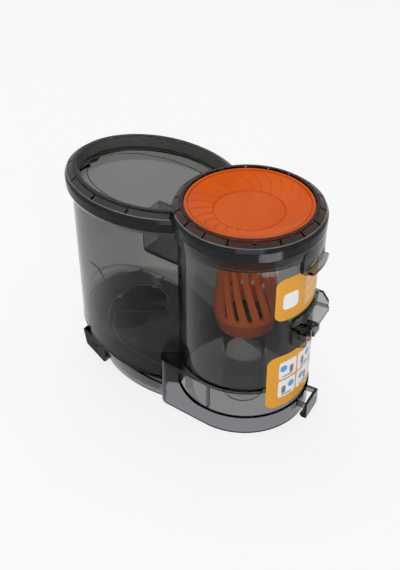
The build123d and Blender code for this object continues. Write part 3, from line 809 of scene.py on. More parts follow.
@dataclass(frozen=True)
class Oval:
    """The line of an upright wall from above: an ellipse with its middle on the X axis."""

    middle: float
    half_length: float
    half_width: float

    def offset(self, out: float) -> "Oval":
        """Return the line a distance further out."""
        return Oval(self.middle, self.half_length + out, self.half_width + out)

    def path(self, angles: Array, heights: Array | float) -> Array:
        """Return points (middle + a cos t, b sin t, height).

        Args:
            angles: t in degrees.
            heights: height of each point, or one for all.

        Returns:
            An array of points.
        """
        turn = np.radians(angles)
        x, y = self.middle + self.half_length * np.cos(turn), self.half_width * np.sin(turn)
        return np.stack([x, y, 0 * turn + heights], axis=-1)

    def way(self, angles: Array) -> Array:
        """Return the unit way out at each angle, along (cos t / a, sin t / b, 0).

        Args:
            angles: t in degrees.

        Returns:
            An array of unit vectors.
        """
        turn = np.radians(angles)
        x, y = np.cos(turn) / self.half_length, np.sin(turn) / self.half_width
        way = np.stack([x, y, 0 * turn], axis=-1)
        return way / np.linalg.norm(way, axis=-1, keepdims=True)


DUST_WALL = Oval(-69.0, 54.8, 42.0)
CYCLONE_WALL = Oval(0.0, 41.0, 41.0)


def piece(
    name: str,
    mesh: bpy.types.Mesh,
    body: Body,
    material: bpy.types.Material,
) -> bpy.types.Object:
    """Put a mesh into the scene as a piece that rides on a body.

    Args:
        name: the piece's name.
        mesh: the mesh, with its place in its points.
        body: the body that carries it.
        material: its finish.

    Returns:
        The object, at the origin, unturned and unscaled.
    """
    thing = bpy.data.objects.new(name, mesh)
    bpy.context.scene.collection.objects.link(thing)
    mesh.materials.append(material)
    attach(thing, body.value)
    log.info("piece %s: %d faces, rides on %s", name, len(mesh.polygons), body.value)
    return thing


# Sub-assemblies


@dataclass
class CadDress:
    """The CAD nodes, each with its finish."""

    finishes: dict[str, str] = field(
        default_factory=lambda: {
            "bin_body": "smoke_body",
            "base_skirt": "smoke_base",
            "top_cover": "smoke",
            "cyclone_seal": "rubber",
            "dust_chamber_seal": "grey_rubber",
            "cyclone_cap": "orange",
            "cap_o_ring": "rubber",
            "vortex_cone": "orange_cone",
            "cone_seal": "rubber",
            "outlet_tube": "clear",
            "inlet_duct": "dark",
            "inlet_gasket": "rubber",
            "inlet_flap": "flap",
            "flap_pin": "steel",
            "upper_label": "amber",
            "lower_label": "amber",
        }
    )

    def dress(self, palette: Palette) -> None:
        """Give each CAD node its material.

        Args:
            palette: the finishes.
        """
        for name, finish in self.finishes.items():
            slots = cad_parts[name].data.materials
            slots.clear()
            slots.append(palette[finish])
            log.info("node %s: %s", name, finish)


@dataclass
class SwirlCap:
    """The orange twist cap: a dish of swept petals round a flat disc, over a hollow skirt.

    Steps of the profile are pairs of a distance out and a rise: the disc's line from the
    axis and the disc's height, the rim from the dish's edge, and the lip from the outside.
    """

    disc_radius: float = 20.5
    disc_height: float = 136.7
    disc_rings: tuple[float, ...] = (0.0, 6.0, 12.0, 17.0, 19.7)
    disc_line: tuple[Pair, ...] = ((20.0, -0.1), (20.2, -0.5), (20.6, -0.5), (20.8, -0.05))
    bowl_start: float = 21.0
    bowl_rings: int = 44
    bowl_rise: Pair = (1.9, 3.6)
    bowl_inset: float = 1.6
    rim: float = 2.6
    rim_steps: tuple[Pair, ...] = ((0.15, -1.1), (0.55, -1.1), (0.75, -0.15), (1.0, 0.0))
    lip_steps: tuple[Pair, ...] = ((-0.8, 0.0), (-0.35, -0.1), (-0.08, -0.35), (0.0, -0.7))
    outer: float = field(default_factory=lambda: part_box("cyclone_cap")[1][0] / MM)
    top: float = 142.2
    bottom: float = 132.2
    foot_edge: float = 0.4
    thickness: float = 2.0
    back_rings: int = 12
    skirt_wall: float = 3.4
    groove_depth: float = 2.1
    groove: Pair = (136.74, 134.32)
    socket: Pair = (14.45, 12.65)
    socket_bottom: float = 129.7
    petals: int = 24
    petal_steps: int = 16
    petal_depth: float = 0.6
    petal_rise: float = 0.875
    sweep: float = 19.0
    sweep_power: float = 1.5
    fade_start: float = 0.72
    fade_length: float = 0.26
    smooth: float = 24.0

    @property
    def dish_edge(self) -> float:
        """Return the radius at which the dish meets its rim."""
        return self.outer - self.rim

    def dish(self, radius: Array) -> Array:
        """Return the dish's height: the disc's + 1.9 s + 3.6 s squared.

        Args:
            radius: distances from the axis.

        Returns:
            The height at each, with s running from 0 at the disc to 1 near the rim.
        """
        share = (radius - self.disc_radius) / (self.outer - self.bowl_inset - self.disc_radius)
        straight, curved = self.bowl_rise
        return self.disc_height + straight * share + curved * share**2

    def profile(self) -> Array:
        """Return the profile from the middle of the top, round the skirt, to the middle below.

        Returns:
            Radius and height of each ring.
        """
        outer, edge, top, flat = self.outer, self.dish_edge, self.top, self.disc_height
        under, skirt, bottom = flat - self.thickness, outer - self.skirt_wall, self.bottom
        disc = [(radius, flat) for radius in self.disc_rings]
        line = np.array(self.disc_line) + (0.0, flat)
        bowl_radius = np.linspace(self.bowl_start, edge, self.bowl_rings)
        bowl = np.stack([bowl_radius, self.dish(bowl_radius)], axis=-1)
        rim = np.array(self.rim_steps) + (edge, top)
        lip = np.array(self.lip_steps) + (outer, top)
        inside, (high, low) = outer - self.groove_depth, self.groove
        ring = [(outer, high), (inside, high), (inside, low), (outer, low)]
        foot = [(outer, bottom + self.foot_edge), (outer - self.foot_edge, bottom), (skirt, bottom)]
        back_radius = np.linspace(skirt, self.disc_radius, self.back_rings)
        back = np.stack([back_radius, self.dish(back_radius) - self.thickness], axis=-1)
        (wide, narrow), deep = self.socket, self.socket_bottom
        collar = [(wide, under), (wide, deep), (narrow, deep), (narrow, under)]
        middle = [(0.0, under)]
        return np.concatenate([disc, line, bowl, rim, lip, ring, foot, back, collar, middle])

    def surface(self) -> Surface:
        """Return the cap, its columns following the petals.

        Each column turns on by the sweep as it goes outwards. Across a petal the dish
        rises slowly and then drops at once, like a saw, and this fades out at the rim.

        Returns:
            The closed surface.
        """
        profile = self.profile()
        radius = profile[1:-1, 0, None]
        columns = self.petals * self.petal_steps
        column = np.linspace(0, 2 * math.pi, columns, endpoint=False)[None, :]
        out = np.clip((radius - self.disc_radius) / (self.dish_edge - self.disc_radius), 0, 1)
        turn = column + math.radians(self.sweep) * out**self.sweep_power
        saw, peak = (column * self.petals / (2 * math.pi)) % 1.0, self.petal_rise
        saw = np.where(saw < peak, saw / peak, (1.0 - saw) / (1.0 - peak)) - 0.5
        row = np.arange(len(radius))[:, None]
        first = len(self.disc_rings) + len(self.disc_line) - 1
        on_dish = (row >= first) & (row < first + self.bowl_rings)
        faded = np.clip((out - self.fade_start) / self.fade_length, 0, 1) ** 2
        return turned(profile, turn, self.petal_depth * np.where(on_dish, 1.0 - faded, 0.0) * saw)

    def build(self, palette: Palette) -> None:
        """Put the cap in the place of its plain solid.

        Args:
            palette: the finishes.
        """
        mesh = self.surface().mesh("swirl_cap", self.smooth)
        cap = piece("swirl_cap", mesh, Body.CAP, palette["orange"])
        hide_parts("cyclone_cap")


@dataclass(frozen=True)
class InkPatch:
    """One patch of ink on the round wall: its middle, half sizes and squareness of corners."""

    RINGS: ClassVar[int] = 5
    COLUMNS: ClassVar[int] = 48
    SOFT: ClassVar[float] = 5.0
    SHARP: ClassVar[float] = 9.0

    ink: str
    angle: float
    height: float
    half_width: float
    half_height: float
    square: float = 2.0

    def surface(self, low: float, high: float) -> Surface:
        """Return the patch as a thin closed skin on the wall.

        Its edge is a superellipse, cos and sin each to the power 2 / square. Rings run out
        from the middle at the high radius and back in at the low one, laid on the cylinder.

        Args:
            low: radius of its under side.
            high: radius of its upper side.

        Returns:
            The closed surface.
        """
        turn = np.linspace(0, 2 * math.pi, self.COLUMNS, endpoint=False)[None, :]
        power = 2.0 / self.square
        across = np.sign(np.cos(turn)) * np.abs(np.cos(turn)) ** power
        up = np.sign(np.sin(turn)) * np.abs(np.sin(turn)) ** power
        share = np.linspace(1.0 / self.RINGS, 1.0, self.RINGS)
        share = np.concatenate([share, share[::-1]])[:, None]
        radius = np.repeat([high, low], self.RINGS)[:, None]
        middle = math.radians(self.angle)
        bearing = middle + share * across * self.half_width / high
        height = self.height + share * up * self.half_height
        x, y = radius * np.cos(bearing), radius * np.sin(bearing)
        rings = np.stack(np.broadcast_arrays(x, y, height), axis=-1)
        way = np.array([math.cos(middle), math.sin(middle), 0.0])
        foot = np.array([0.0, 0.0, self.height])
        return capped(rings, foot + high * way, foot + low * way)


@dataclass
class StickerPrint:
    """Plain marks printed on the two amber stickers: bars, dots, panels and discs.

    Upper sticker: a white field, then blocks of bars, each with its height and the
    lengths of its bars. Lower sticker: columns by angle and half width, and rows by
    height, of panels. The places of what a panel holds are measured from its middle.
    """

    wall: float = 41.35
    sunk: float = 0.03
    film: float = 0.05
    smooth: float = 50.0
    white_field: InkPatch = InkPatch("white", -20.0, 99.0, 5.4, 5.6, InkPatch.SOFT)
    blocks: tuple[tuple[float, tuple[float, ...]], ...] = (
        (108.6, (19.0, 14.0)),
        (103.2, (20.0, 17.5, 8.0)),
        (95.0, (20.5, 18.0, 12.0)),
    )
    dot_angle: float = -6.6
    dot_radius: float = 0.8
    bar_angle: float = -3.6
    bar_pitch: float = 2.4
    bar_half_height: float = 0.5
    columns: tuple[Pair, ...] = ((-17.6, 6.7), (3.9, 7.4), (26.4, 7.4))
    rows: tuple[float, ...] = (46.3, 31.4)
    panel_half_height: float = 6.7
    asides: tuple[float, ...] = (-3.4, 3.2, -2.6)
    disc_rise: float = 1.4
    disc_radius: float = 2.5
    block_share: float = 0.8
    block_rise: float = -1.0
    block_half: Pair = (1.6, 2.9)
    line_rise: float = -5.0
    line_share: float = 0.62
    line_half_height: float = 0.45

    def turn(self, distance: float) -> float:
        """Return the angle in degrees of a distance round the wall."""
        return math.degrees(distance / self.wall)

    def upper(self) -> list[InkPatch]:
        """Return the upper sticker's marks: a white field, dots, and bars of uneven length.

        Returns:
            The patches of ink.
        """
        marks = [self.white_field]
        for height, lengths in self.blocks:
            dot = self.dot_radius
            marks.append(InkPatch("grey", self.dot_angle, height, dot, dot))
            for line, length in enumerate(lengths):
                angle = self.bar_angle + self.turn(length / 2)
                level, half = height - line * self.bar_pitch, self.bar_half_height
                marks.append(InkPatch("pale", angle, level, length / 2, half, InkPatch.SHARP))
        return marks

    def lower(self) -> list[InkPatch]:
        """Return the lower sticker's marks: white panels, each with a disc, a block and a line.

        Returns:
            The patches of ink.
        """
        soft, sharp, disc = InkPatch.SOFT, InkPatch.SHARP, self.disc_radius
        marks = []
        for column, (angle, half) in enumerate(self.columns):
            for row, height in enumerate(self.rows):
                aside = self.asides[(column + row) % len(self.asides)]
                left, right = angle + self.turn(aside), angle - self.turn(aside * self.block_share)
                line = (half * self.line_share, self.line_half_height)
                marks += [
                    InkPatch("white", angle, height, half, self.panel_half_height, sharp),
                    InkPatch("blue_over", left, height + self.disc_rise, disc, disc),
                    InkPatch("ink_over", right, height + self.block_rise, *self.block_half, soft),
                    InkPatch("ink_over", angle, height + self.line_rise, *line, sharp),
                ]
        return marks

    def build(self, palette: Palette) -> None:
        """Lay each ink as one mesh, the inks that lie on the white panels a little higher.

        Args:
            palette: the finishes.
        """
        for name, marks in {"upper": self.upper(), "lower": self.lower()}.items():
            for ink in sorted({mark.ink for mark in marks}):
                level = self.wall + (2 if ink.endswith("_over") else 1) * self.film
                chosen = [mark for mark in marks if mark.ink == ink]
                skins = [mark.surface(self.wall - self.sunk, level) for mark in chosen]
                plain = ink.removesuffix("_over")
                mesh = Surface.joined(skins).mesh(f"{name}_{plain}_print", self.smooth)
                piece(mesh.name, mesh, Body.BIN, palette[plain])


@dataclass
class ChamberMarks:
    """Marks on the dust chamber: two lines outside, and a ridge, ribs and a pan inside, the ribs
    and the pan's edge drawn pale as painted highlights.

    Spans are angles in degrees round the oval wall, and a bar is its width and how low
    and how high it reaches from the surface that it lies on.
    """

    outside: Oval = DUST_WALL
    wall: float = 2.0
    smooth: float = 50.0
    fill_angles: tuple[float, ...] = (
        -112.0, -108.0, -104.0, -102.9, -102.1, -101.5, -99.5, -97.2,
    )
    fill_heights: tuple[float, ...] = (85.3, 85.3, 85.3, 85.15, 84.6, 83.9, 81.6, 79.0)
    fill_bar: Triple = (1.05, -0.03, 0.12)
    ridge_end: float = 40.6
    ridge_slope: float = 0.44
    ridge_span: Pair = (222.0, 100.0)
    ridge_points: int = 80
    ridge_bar: Triple = (1.6, -0.03, 0.45)
    rib_angles: tuple[Pair, ...] = ((134.0, 140.5), (116.0, 122.0))
    rib_drop: float = 0.6
    rib_fall: float = 4.0
    rib_points: int = 8
    rib_bar: Triple = (1.3, -0.03, 1.4)
    floor_level: float = 17.0
    floor_slope: float = math.tan(math.radians(11.0))
    foot_rise: float = 0.6
    foot_span: Pair = (50.0, 310.0)
    foot_points: int = 160
    foot_bar: Triple = (1.1, -0.03, 0.1)
    pan_middle: Pair = (-96.0, -4.0)
    pan_hole: float = 20.0
    pan_gap: float = 0.3
    pan_layer: Pair = (2.0, 2.4)
    pan_rings: int = 6
    pan_columns: int = 240
    cyclone_radius: float = 41.4
    edge_span: Pair = (-160.0, -62.0)
    edge_points: int = 60
    edge_halves: Triple = (29.0, 53.0, 30.3)
    edge_bar: Triple = (0.7, -0.1, 0.4)

    @property
    def inside(self) -> Oval:
        """Return the line of the wall's inner face."""
        return self.outside.offset(-self.wall)

    def fill_line(self) -> Surface:
        """Return the fill line: level, then bent down, its corner eased by close points.

        Returns:
            The closed bar on the wall's outer face.
        """
        angles, heights = np.array(self.fill_angles), np.array(self.fill_heights)
        path, way = self.outside.path(angles, heights), self.outside.way(angles)
        return carried(path, way, bar_section(*self.fill_bar))

    def ridge_height(self, angles: Array) -> Array:
        """Return the ridge's height: a plane that falls by the slope from the chamber's end."""
        along = self.inside.half_length * np.cos(np.radians(angles))
        return self.ridge_end - self.ridge_slope * (along + self.outside.half_length)

    def ridge(self) -> Surface:
        """Return the low ridge inside, along the wall from the near end round to the far side.

        Returns:
            The closed bar on the wall's inner face.
        """
        angles = np.linspace(*self.ridge_span, self.ridge_points)
        path, way = self.inside.path(angles, self.ridge_height(angles)), -self.inside.way(angles)
        return carried(path, way, bar_section(*self.ridge_bar))

    def ribs(self) -> Surface:
        """Return short ribs that lean down from the ridge on the far wall, drawn pale as a painted
        highlight.

        Returns:
            The closed bars as one surface.
        """
        legs = []
        for top, foot in self.rib_angles:
            angles = np.linspace(top, foot, self.rib_points)
            start = float(self.ridge_height(np.array(top))) - self.rib_drop
            heights = np.linspace(start, start - self.rib_fall, self.rib_points)
            path, way = self.inside.path(angles, heights), -self.inside.way(angles)
            legs.append(carried(path, way, bar_section(*self.rib_bar)))
        return Surface.joined(legs)

    def floor_height(self, along: Array, above: float = 0.0) -> Array:
        """Return the height of the tilted floor, or of a layer above it."""
        return self.floor_level + above - self.floor_slope * (along - self.outside.middle)

    def foot_line(self) -> Surface:
        """Return the dark line along the wall's lower edge, where it meets the skirt.

        Returns:
            The closed bar on the wall's outer face.
        """
        angles = np.linspace(*self.foot_span, self.foot_points)
        along = self.outside.path(angles, 0.0)[:, 0]
        path = self.outside.path(angles, self.floor_height(along, self.foot_rise))
        return carried(path, self.outside.way(angles), bar_section(*self.foot_bar))

    def pan_reach(self, ray_x: Array, ray_y: Array) -> Array:
        """Return how far the pan reaches along rays from its middle: to the nearer of two walls.

        On a ray, the oval wall is the far root of its equation, and the cyclone wall the
        near root of its own.

        Args:
            ray_x: X of each unit ray.
            ray_y: Y of each unit ray.

        Returns:
            The distance along each ray.
        """
        from_x, from_y = self.pan_middle
        line = self.inside.offset(-self.pan_gap)
        long, short, start = line.half_length, line.half_width, from_x - line.middle
        square = (ray_x / long) ** 2 + (ray_y / short) ** 2
        half = start * ray_x / long**2 + from_y * ray_y / short**2
        rest = (start / long) ** 2 + (from_y / short) ** 2 - 1
        oval = (np.sqrt(half**2 - square * rest) - half) / square
        toward = -(from_x * ray_x + from_y * ray_y)
        inside = toward**2 - from_x**2 - from_y**2 + self.cyclone_radius**2
        near_root = toward - np.sqrt(np.maximum(inside, 0))
        return np.minimum(oval, np.where((inside > 0) & (toward > 0), near_root, np.inf))

    def pan(self) -> Surface:
        """Return the dark pan on the tilted floor, from the cowl out to the walls.

        Rings run from a circle under the cowl out to the pan's reach, and back below.

        Returns:
            The closed surface.
        """
        turn = np.linspace(0, 2 * math.pi, self.pan_columns, endpoint=False)
        ray_x, ray_y = np.cos(turn), np.sin(turn)
        share = np.linspace(0, 1, self.pan_rings)
        share = np.concatenate([share, share[::-1]])[:, None]
        out = self.pan_hole + share * (self.pan_reach(ray_x, ray_y) - self.pan_hole)[None, :]
        from_x, from_y = self.pan_middle
        x, y = from_x + out * ray_x, from_y + out * ray_y
        low, high = self.pan_layer
        layer = np.repeat([high, low], self.pan_rings)[:, None]
        points = np.stack([x, y, self.floor_height(x) + layer], axis=-1)
        faces = grid_faces(2 * self.pan_rings, self.pan_columns, True, True)
        return Surface(points.reshape(-1, 3), faces)

    def pan_line(self) -> Surface:
        """Return the pan's raised edge: an ellipse, shorter on the cowl's side, drawn pale as a
        painted highlight.

        Returns:
            The closed bar on the pan.
        """
        turn = np.radians(np.linspace(*self.edge_span, self.edge_points))
        short, long, wide = self.edge_halves
        x = self.outside.middle + np.where(np.cos(turn) < 0, short, long) * np.cos(turn)
        height = self.floor_height(x, self.pan_layer[1])
        path = np.stack([x, wide * np.sin(turn), height], axis=-1)
        way = np.array([self.floor_slope, 0.0, 1.0])
        return carried(path, way, bar_section(*self.edge_bar))

    def build(self, palette: Palette) -> None:
        """Lay the marks on the wall and the pan on the floor.

        Args:
            palette: the finishes.
        """
        marks = {
            "fill_line": (self.fill_line(), Slot.SMOKE, "black_ink"),
            "foot_line": (self.foot_line(), Slot.SMOKE, "dark_satin_band"),
            "chamber_ridge": (self.ridge(), Slot.SMOKE, "smoke_thick"),
            "chamber_ribs_highlight": (self.ribs(), Slot.SMOKE, "ridge"),
            "chamber_pan": (self.pan(), Slot.DARK, "pan"),
            # Painted highlight along the pan's edge.
            "pan_line": (self.pan_line(), Slot.DARK, "lip"),
        }
        for name, (surface, slot, finish) in marks.items():
            piece(name, surface.mesh(name, self.smooth), Body.BIN, palette[finish])


class Collar(Enum):
    """The cover's two collars: the wall that each stands over, and the height of its top."""

    RING = (CYCLONE_WALL, 143.0)
    OVAL = (DUST_WALL, 138.2)


@dataclass
class CollarBands:
    """Bands on both collars: satin ones between notches, a pale ridge, and dark ones over the
    seals; they lay painted light, highlight and shade on the clear plastic.

    A line of a collar's profile is a pair: how far out from the wall, and how far below
    the collar's top. Spans and steps are angles in degrees.
    """

    slope_top: Pair = (-1.6, 0.8)
    slope_foot: Pair = (2.3, 3.0)
    ridge_top: Pair = (1.95, 2.8)
    ridge_foot: Pair = (2.45, 3.1)
    shoulder: Pair = (3.5, 5.4)
    wall_foot: Pair = (3.5, 10.9)
    well_foot: Pair = (-4.2, 7.8)
    well_top: Pair = (-4.2, 0.1)
    front: float = 7.0
    ring_notches: int = 18
    oval_notches: int = 9
    oval_step: float = 26.0
    notch: float = 1.2
    ring_span: Pair = (-130.0, 130.0)
    oval_start: float = 48.3
    bands_further: float = 0.7
    seal_further: float = 0.8
    well_further: float = 2.0
    band_cover: float = 0.86
    seal_cover: float = 0.94
    ridge_cover: float = 0.9
    band_layer: Pair = (-0.05, 0.06)
    ridge_layer: Pair = (-0.1, 0.12)
    fewest_points: int = 8
    point_step: float = 2.0
    smooth: float = 40.0

    def span(self, further: float = 0.0) -> Pair:
        """Return the oval collar's first and last t, carried further towards the ring."""
        return self.oval_start - further, 360.0 - self.oval_start + further

    def strip(
        self, collar: Collar, ends: Pair, upper: Pair, lower: Pair, cover: float, layer: Pair
    ) -> Surface:
        """Return a flat bar that lies along a collar, between two lines of its profile.

        A point of its middle line is (middle + (a + out) cos t, (b + out) sin t, height), and
        its way out is square to the line from the upper to the lower edge.

        Args:
            collar: the collar that carries it.
            ends: first and last t in degrees.
            upper: the profile's line at the bar's upper edge.
            lower: the profile's line at its lower edge.
            cover: share of the width between the edges that the bar takes.
            layer: how far the bar is sunk in and stands out.

        Returns:
            The closed bar.
        """
        (wall, top), (start, end) = collar.value, ends
        out, drop = (upper[0] + lower[0]) / 2, (upper[1] + lower[1]) / 2
        across, fall = lower[0] - upper[0], lower[1] - upper[1]
        width = math.hypot(across, fall)
        points = max(self.fewest_points, int(abs(end - start) / self.point_step))
        angles = np.linspace(start, end, points)
        way = (wall.way(angles) * fall + np.array([0.0, 0.0, across])) / width
        path = wall.offset(out).path(angles, top - drop)
        return carried(path, way, bar_section(cover * width, *layer))

    def bands(self, collar: Collar, breaks: list[float]) -> Surface:
        """Return one collar's satin bands: a flat bar on the slope between each pair of breaks,
        painted light of the orange cap on the ring and painted shade on the oval.

        Args:
            collar: the collar that carries them.
            breaks: angles of the notches and of the two ends, in order.

        Returns:
            The closed bars as one surface.
        """
        gap = math.degrees(self.notch / 2 / collar.value[0].half_width)
        spans = [(start + gap, end - gap) for start, end in zip(breaks, breaks[1:])]
        profile = (self.slope_top, self.slope_foot, self.band_cover, self.band_layer)
        return Surface.joined([self.strip(collar, span, *profile) for span in spans])

    def ridge(self, collar: Collar, ends: Pair) -> Surface:
        """Return the fine ridge at the foot of a collar's slope, drawn pale as a painted highlight.
        """
        profile = (self.ridge_top, self.ridge_foot, self.ridge_cover, self.ridge_layer)
        return self.strip(collar, ends, *profile)

    def seal(self, collar: Collar, ends: Pair) -> Surface:
        """Return the dark bands over a seal, the seal seen through with painted shade: on the
        shoulder, and on the upright wall below it.

        Args:
            collar: the collar that carries them.
            ends: first and last t in degrees.

        Returns:
            The two closed bars as one surface.
        """
        edges = ((self.slope_foot, self.shoulder), (self.shoulder, self.wall_foot))
        looks = (self.seal_cover, self.band_layer)
        return Surface.joined([self.strip(collar, ends, *pair, *looks) for pair in edges])

    def well(self, ends: Pair) -> Surface:
        """Return the band of painted shade on the inner wall of the oval recess, which faces the
        panel.
        """
        profile = (self.well_foot, self.well_top, self.seal_cover, self.band_layer)
        return self.strip(Collar.OVAL, ends, *profile)

    def build(self, palette: Palette) -> None:
        """Lay the bands and ridges on the cover.

        Args:
            palette: the finishes.
        """
        count = self.ring_notches
        ring_breaks = [self.front + 360.0 * notch / count for notch in range(count + 1)]
        first = 180.0 - self.oval_step * (self.oval_notches - 1) / 2
        notches = [first + self.oval_step * notch for notch in range(self.oval_notches)]
        start, end = self.span(self.bands_further)
        ring, oval = Collar.RING, Collar.OVAL
        surfaces = {
            "ring_cap_light_bands": (self.bands(ring, ring_breaks), "brown_cap_light_band"),
            "oval_shade_bands": (self.bands(oval, [start, *notches, end]), "olive_band"),
            "ring_ridge_highlight": (self.ridge(ring, self.ring_span), "ridge"),
            "oval_ridge_highlight": (self.ridge(oval, self.span()), "ridge"),
            "ring_seal_shade_band": (self.seal(ring, self.ring_span), "dark_satin_band"),
            "oval_seal_shade_band": (self.seal(oval, self.span(self.seal_further)), "dark_satin_band"),
            "oval_well_shade_band": (self.well(self.span(self.well_further)), "olive_wall_shade"),
        }
        for name, (surface, finish) in surfaces.items():
            mesh = surface.mesh(name, self.smooth)
            piece(name, mesh, Body.COVER, palette[finish])


@dataclass
class PanelMarks:
    """Marks on the oval panel: the edge of its field, and two see-through hooks at its end."""

    field_edge: Oval = Oval(-69.0, 47.0, 28.0)
    level: float = 129.6
    span: Pair = (55.0, 305.0)
    line_points: int = 140
    line_bar: Triple = (0.6, -0.05, 0.12)
    hook_layer: Pair = (129.5, 131.4)
    hook_outlines: tuple[tuple[Pair, ...], ...] = (
        (
            (-118.0, 8.0), (-118.9, 4.7), (-119.3, 0.6), (-115.7, -3.6),
            (-114.3, -4.0), (-113.5, 0.6), (-115.2, 4.3),
        ),
        (
            (-119.3, -0.4), (-118.3, -7.3), (-115.7, -14.0), (-113.2, -17.0),
            (-113.4, -10.2), (-111.9, -8.3), (-114.9, -4.5),
        ),
    )

    def line(self) -> Surface:
        """Return the fine line round the field, which stops where the ring collar stands."""
        path = self.field_edge.path(np.linspace(*self.span, self.line_points), self.level)
        return carried(path, np.array([0.0, 0.0, 1.0]), bar_section(*self.line_bar))

    def hooks(self) -> Surface:
        """Return the hooks: each a flat plate, its outline at the upper and the lower level.

        Returns:
            The closed plates as one surface.
        """
        low, high = self.hook_layer
        plates = []
        for outline in self.hook_outlines:
            edges = [np.insert(np.array(outline), 2, level, axis=1) for level in (high, low)]
            plates.append(capped(np.stack(edges), *(edge.mean(axis=0) for edge in edges)))
        return Surface.joined(plates)

    def build(self, palette: Palette) -> None:
        """Lay the line and the hooks on the panel.

        Args:
            palette: the finishes.
        """
        marks = {
            "panel_line": (self.line(), "olive_band"),
            "panel_hooks": (self.hooks(), "smoke"),
        }
        for name, (surface, finish) in marks.items():
            piece(name, surface.mesh(name), Body.COVER, palette[finish])


@dataclass
class CowlLip:
    """The pale bead round the arched mouth of the inlet cowl: a raised rim whose pale colour is a
    painted highlight.
    """

    mouth: Triple = (-86.0, 0.0, 0.0)
    facing: float = -35.0
    radius: float = 20.6
    spring: float = 23.0
    foot: float = 21.0
    arch_points: int = 40
    leg_points: int = 6
    arch_bar: Triple = (0.9, -0.1, 0.35)
    crease: tuple[Triple, Triple] = ((-97.2, -17.2, 24.9), (-89.9, -28.2, 23.4))
    crease_points: int = 8
    crease_bar: Triple = (0.9, -0.2, 0.35)
    floor_way: Triple = (0.191, 0.0, 0.982)
    smooth: float = 40.0

    def crease_line(self) -> Surface:
        """Return the straight bead that runs on from the arch's near foot over the pan, a painted
        highlight line.
        """
        path = np.linspace(*np.array(self.crease), self.crease_points)
        return carried(path, np.array(self.floor_way), bar_section(*self.crease_bar))

    def arch(self) -> Surface:
        """Return the bead: up one leg, round half a circle in the mouth's plane, and down.

        Returns:
            The closed bar on the cowl's mouth.
        """
        turn = math.radians(self.facing)
        outward = np.array([math.cos(turn), math.sin(turn), 0.0])
        side = np.array([-math.sin(turn), math.cos(turn), 0.0])
        bend = np.linspace(0, math.pi, self.arch_points)
        leg = np.linspace(self.foot, self.spring, self.leg_points, endpoint=False)
        straight = np.ones(self.leg_points)
        across = self.radius * np.concatenate([straight, np.cos(bend), -straight])
        height = np.concatenate([leg, self.spring + self.radius * np.sin(bend), leg[::-1]])
        upward = np.array([0.0, 0.0, 1.0])
        path = np.array(self.mouth) + across[:, None] * side + height[:, None] * upward
        return carried(path, outward, bar_section(*self.arch_bar))

    def build(self, palette: Palette) -> None:
        """Lay the bead on the cowl."""
        mesh = Surface.joined([self.arch(), self.crease_line()]).mesh("cowl_lip_highlight", self.smooth)
        piece("cowl_lip_highlight", mesh, Body.BIN, palette["lip"])


# Stage


@dataclass(frozen=True)
class Lamp:
    """One rectangular soft lamp, turned to the middle of the bin.

    A lamp without shadow is a fill that reaches through the see-through walls, and a
    card is seen only as a gleam.
    """

    AIM: ClassVar[Triple] = (-0.03, 0.0, 0.07)

    name: str
    place: Triple
    size: Pair
    power: float
    shadow: bool = True
    card: bool = False

    def build(self) -> None:
        """Hang the lamp."""
        data = bpy.data.lights.new(self.name, "AREA")
        data.shape = "RECTANGLE"
        data.size, data.size_y = self.size
        data.energy = self.power
        data.use_shadow = self.shadow
        thing = bpy.data.objects.new(self.name, data)
        bpy.context.scene.collection.objects.link(thing)
        way = Vector(self.AIM) - Vector(self.place)
        thing.location = self.place
        thing.rotation_euler = way.to_track_quat("-Z", "Y").to_euler()
        if self.card:
            thing.visible_camera = thing.visible_diffuse = thing.visible_transmission = False


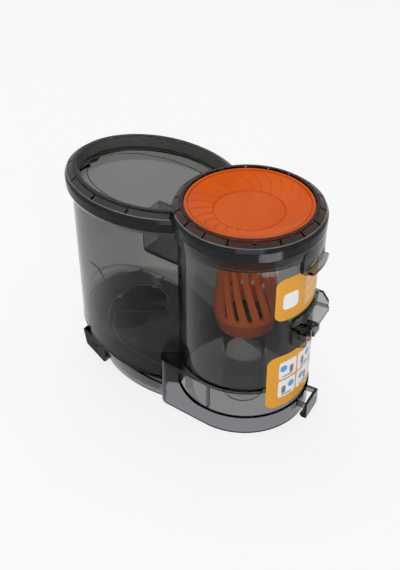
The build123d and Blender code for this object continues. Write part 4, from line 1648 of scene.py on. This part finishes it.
@dataclass
class Studio:
    """Pale floor, soft light and the camera at the photograph's viewing angle."""

    target: Triple = (-0.02255, -0.01632, 0.08311)
    distance: float = 0.55657
    elevation: float = 37.72
    azimuth: float = 35.9
    lens: float = 58.74
    sensor: float = 36.0
    clip_start: float = 0.01
    floor_radius: float = 6.0
    floor_drop: float = 0.0002
    floor_start: float = 0.02
    floor_rings: int = 24
    floor_columns: int = 96
    floor_tone: Colour = (0.86, 0.86, 0.86)
    floor_glow: float = 0.78
    world_strength: float = 0.55
    lamps: tuple[Lamp, ...] = (
        Lamp("soft_top", (-0.5, 0.25, 1.1), (0.9, 0.7), 3.6),
        Lamp("strip_front", (0.75, -0.62, 0.5), (0.12, 0.8), 1.4),
        Lamp("fill", (0.45, -0.75, 0.55), (0.5, 0.5), 2.6, shadow=False),
        Lamp("card", (0.175, -0.092, 0.003), (0.11, 0.08), 0.25, card=True),
    )

    def camera(self) -> None:
        """Set the camera on a sphere round its target, with no roll."""
        turn, rise = math.radians(self.azimuth), math.radians(self.elevation)
        flat = math.cos(rise)
        away = np.array([math.sin(turn) * flat, -math.cos(turn) * flat, math.sin(rise)])
        data = bpy.data.cameras.new("camera")
        data.lens = self.lens
        data.sensor_width = self.sensor
        data.clip_start = self.clip_start
        thing = bpy.data.objects.new("camera", data)
        thing.location = (np.array(self.target) + self.distance * away).tolist()
        thing.rotation_euler = (math.pi / 2 - rise, 0.0, turn)
        bpy.context.scene.collection.objects.link(thing)
        bpy.context.scene.camera = thing

    def floor_material(self) -> bpy.types.Material:
        """Build a pale floor that is nearly white where it is seen, and keeps its shadow.

        Returns:
            The material.
        """
        material, tree = new_material("pale_floor")
        share = tree.product(tree.seen(), self.floor_glow)
        lit = tree.add("ShaderNodeBsdfDiffuse", {"Color": self.floor_tone})
        glow = tree.add("ShaderNodeEmission", {"Color": WHITE, "Strength": 1.0})
        both = tree.add("ShaderNodeMixShader", {0: share, 1: lit.outputs[0], 2: glow.outputs[0]})
        tree.add("ShaderNodeOutputMaterial", {"Surface": both.outputs[0]})
        return material

    def floor(self) -> None:
        """Lay a round floor: rings of points, each ring's radius growing as a square."""
        share = np.linspace(self.floor_start, 1.0, self.floor_rings)[:, None] ** 2
        turn = np.linspace(0, 2 * math.pi, self.floor_columns, endpoint=False)[None, :]
        radius = self.floor_radius / MM * share
        x, y = radius * np.cos(turn), radius * np.sin(turn)
        mesh = capped(np.stack([x, y, 0 * x], axis=-1), np.zeros(3)).mesh("floor")
        mesh.materials.append(self.floor_material())
        thing = bpy.data.objects.new("floor", mesh)
        bpy.context.scene.collection.objects.link(thing)
        thing.location = (0.0, 0.0, -self.floor_drop)

    def world(self) -> None:
        """Fill the world with soft white, plain white where it is seen directly."""
        world = bpy.data.worlds.new("studio")
        bpy.context.scene.world = world
        world.use_nodes = True
        tree = Tree(world.node_tree)
        strength = tree.ramp(tree.seen(), 0.0, 1.0, start=self.world_strength)
        light = tree.add("ShaderNodeBackground", {"Color": WHITE, "Strength": strength})
        tree.add("ShaderNodeOutputWorld", {"Surface": light.outputs[0]})

    def build(self) -> None:
        """Set the whole stage."""
        self.camera()
        self.floor()
        self.world()
        for lamp in self.lamps:
            lamp.build()
        bpy.context.scene.view_settings.view_transform = "Standard"
        log.info("stage set")


def main() -> None:
    """Build and dress the bin, then set the stage."""
    logging.basicConfig(level=logging.INFO, format="%(name)s: %(message)s")
    palette = Palette()
    CadDress().dress(palette)
    SwirlCap().build(palette)
    StickerPrint().build(palette)
    ChamberMarks().build(palette)
    CollarBands().build(palette)
    PanelMarks().build(palette)
    CowlLip().build(palette)
    Studio().build()


if __name__ == "__main__":
    main()
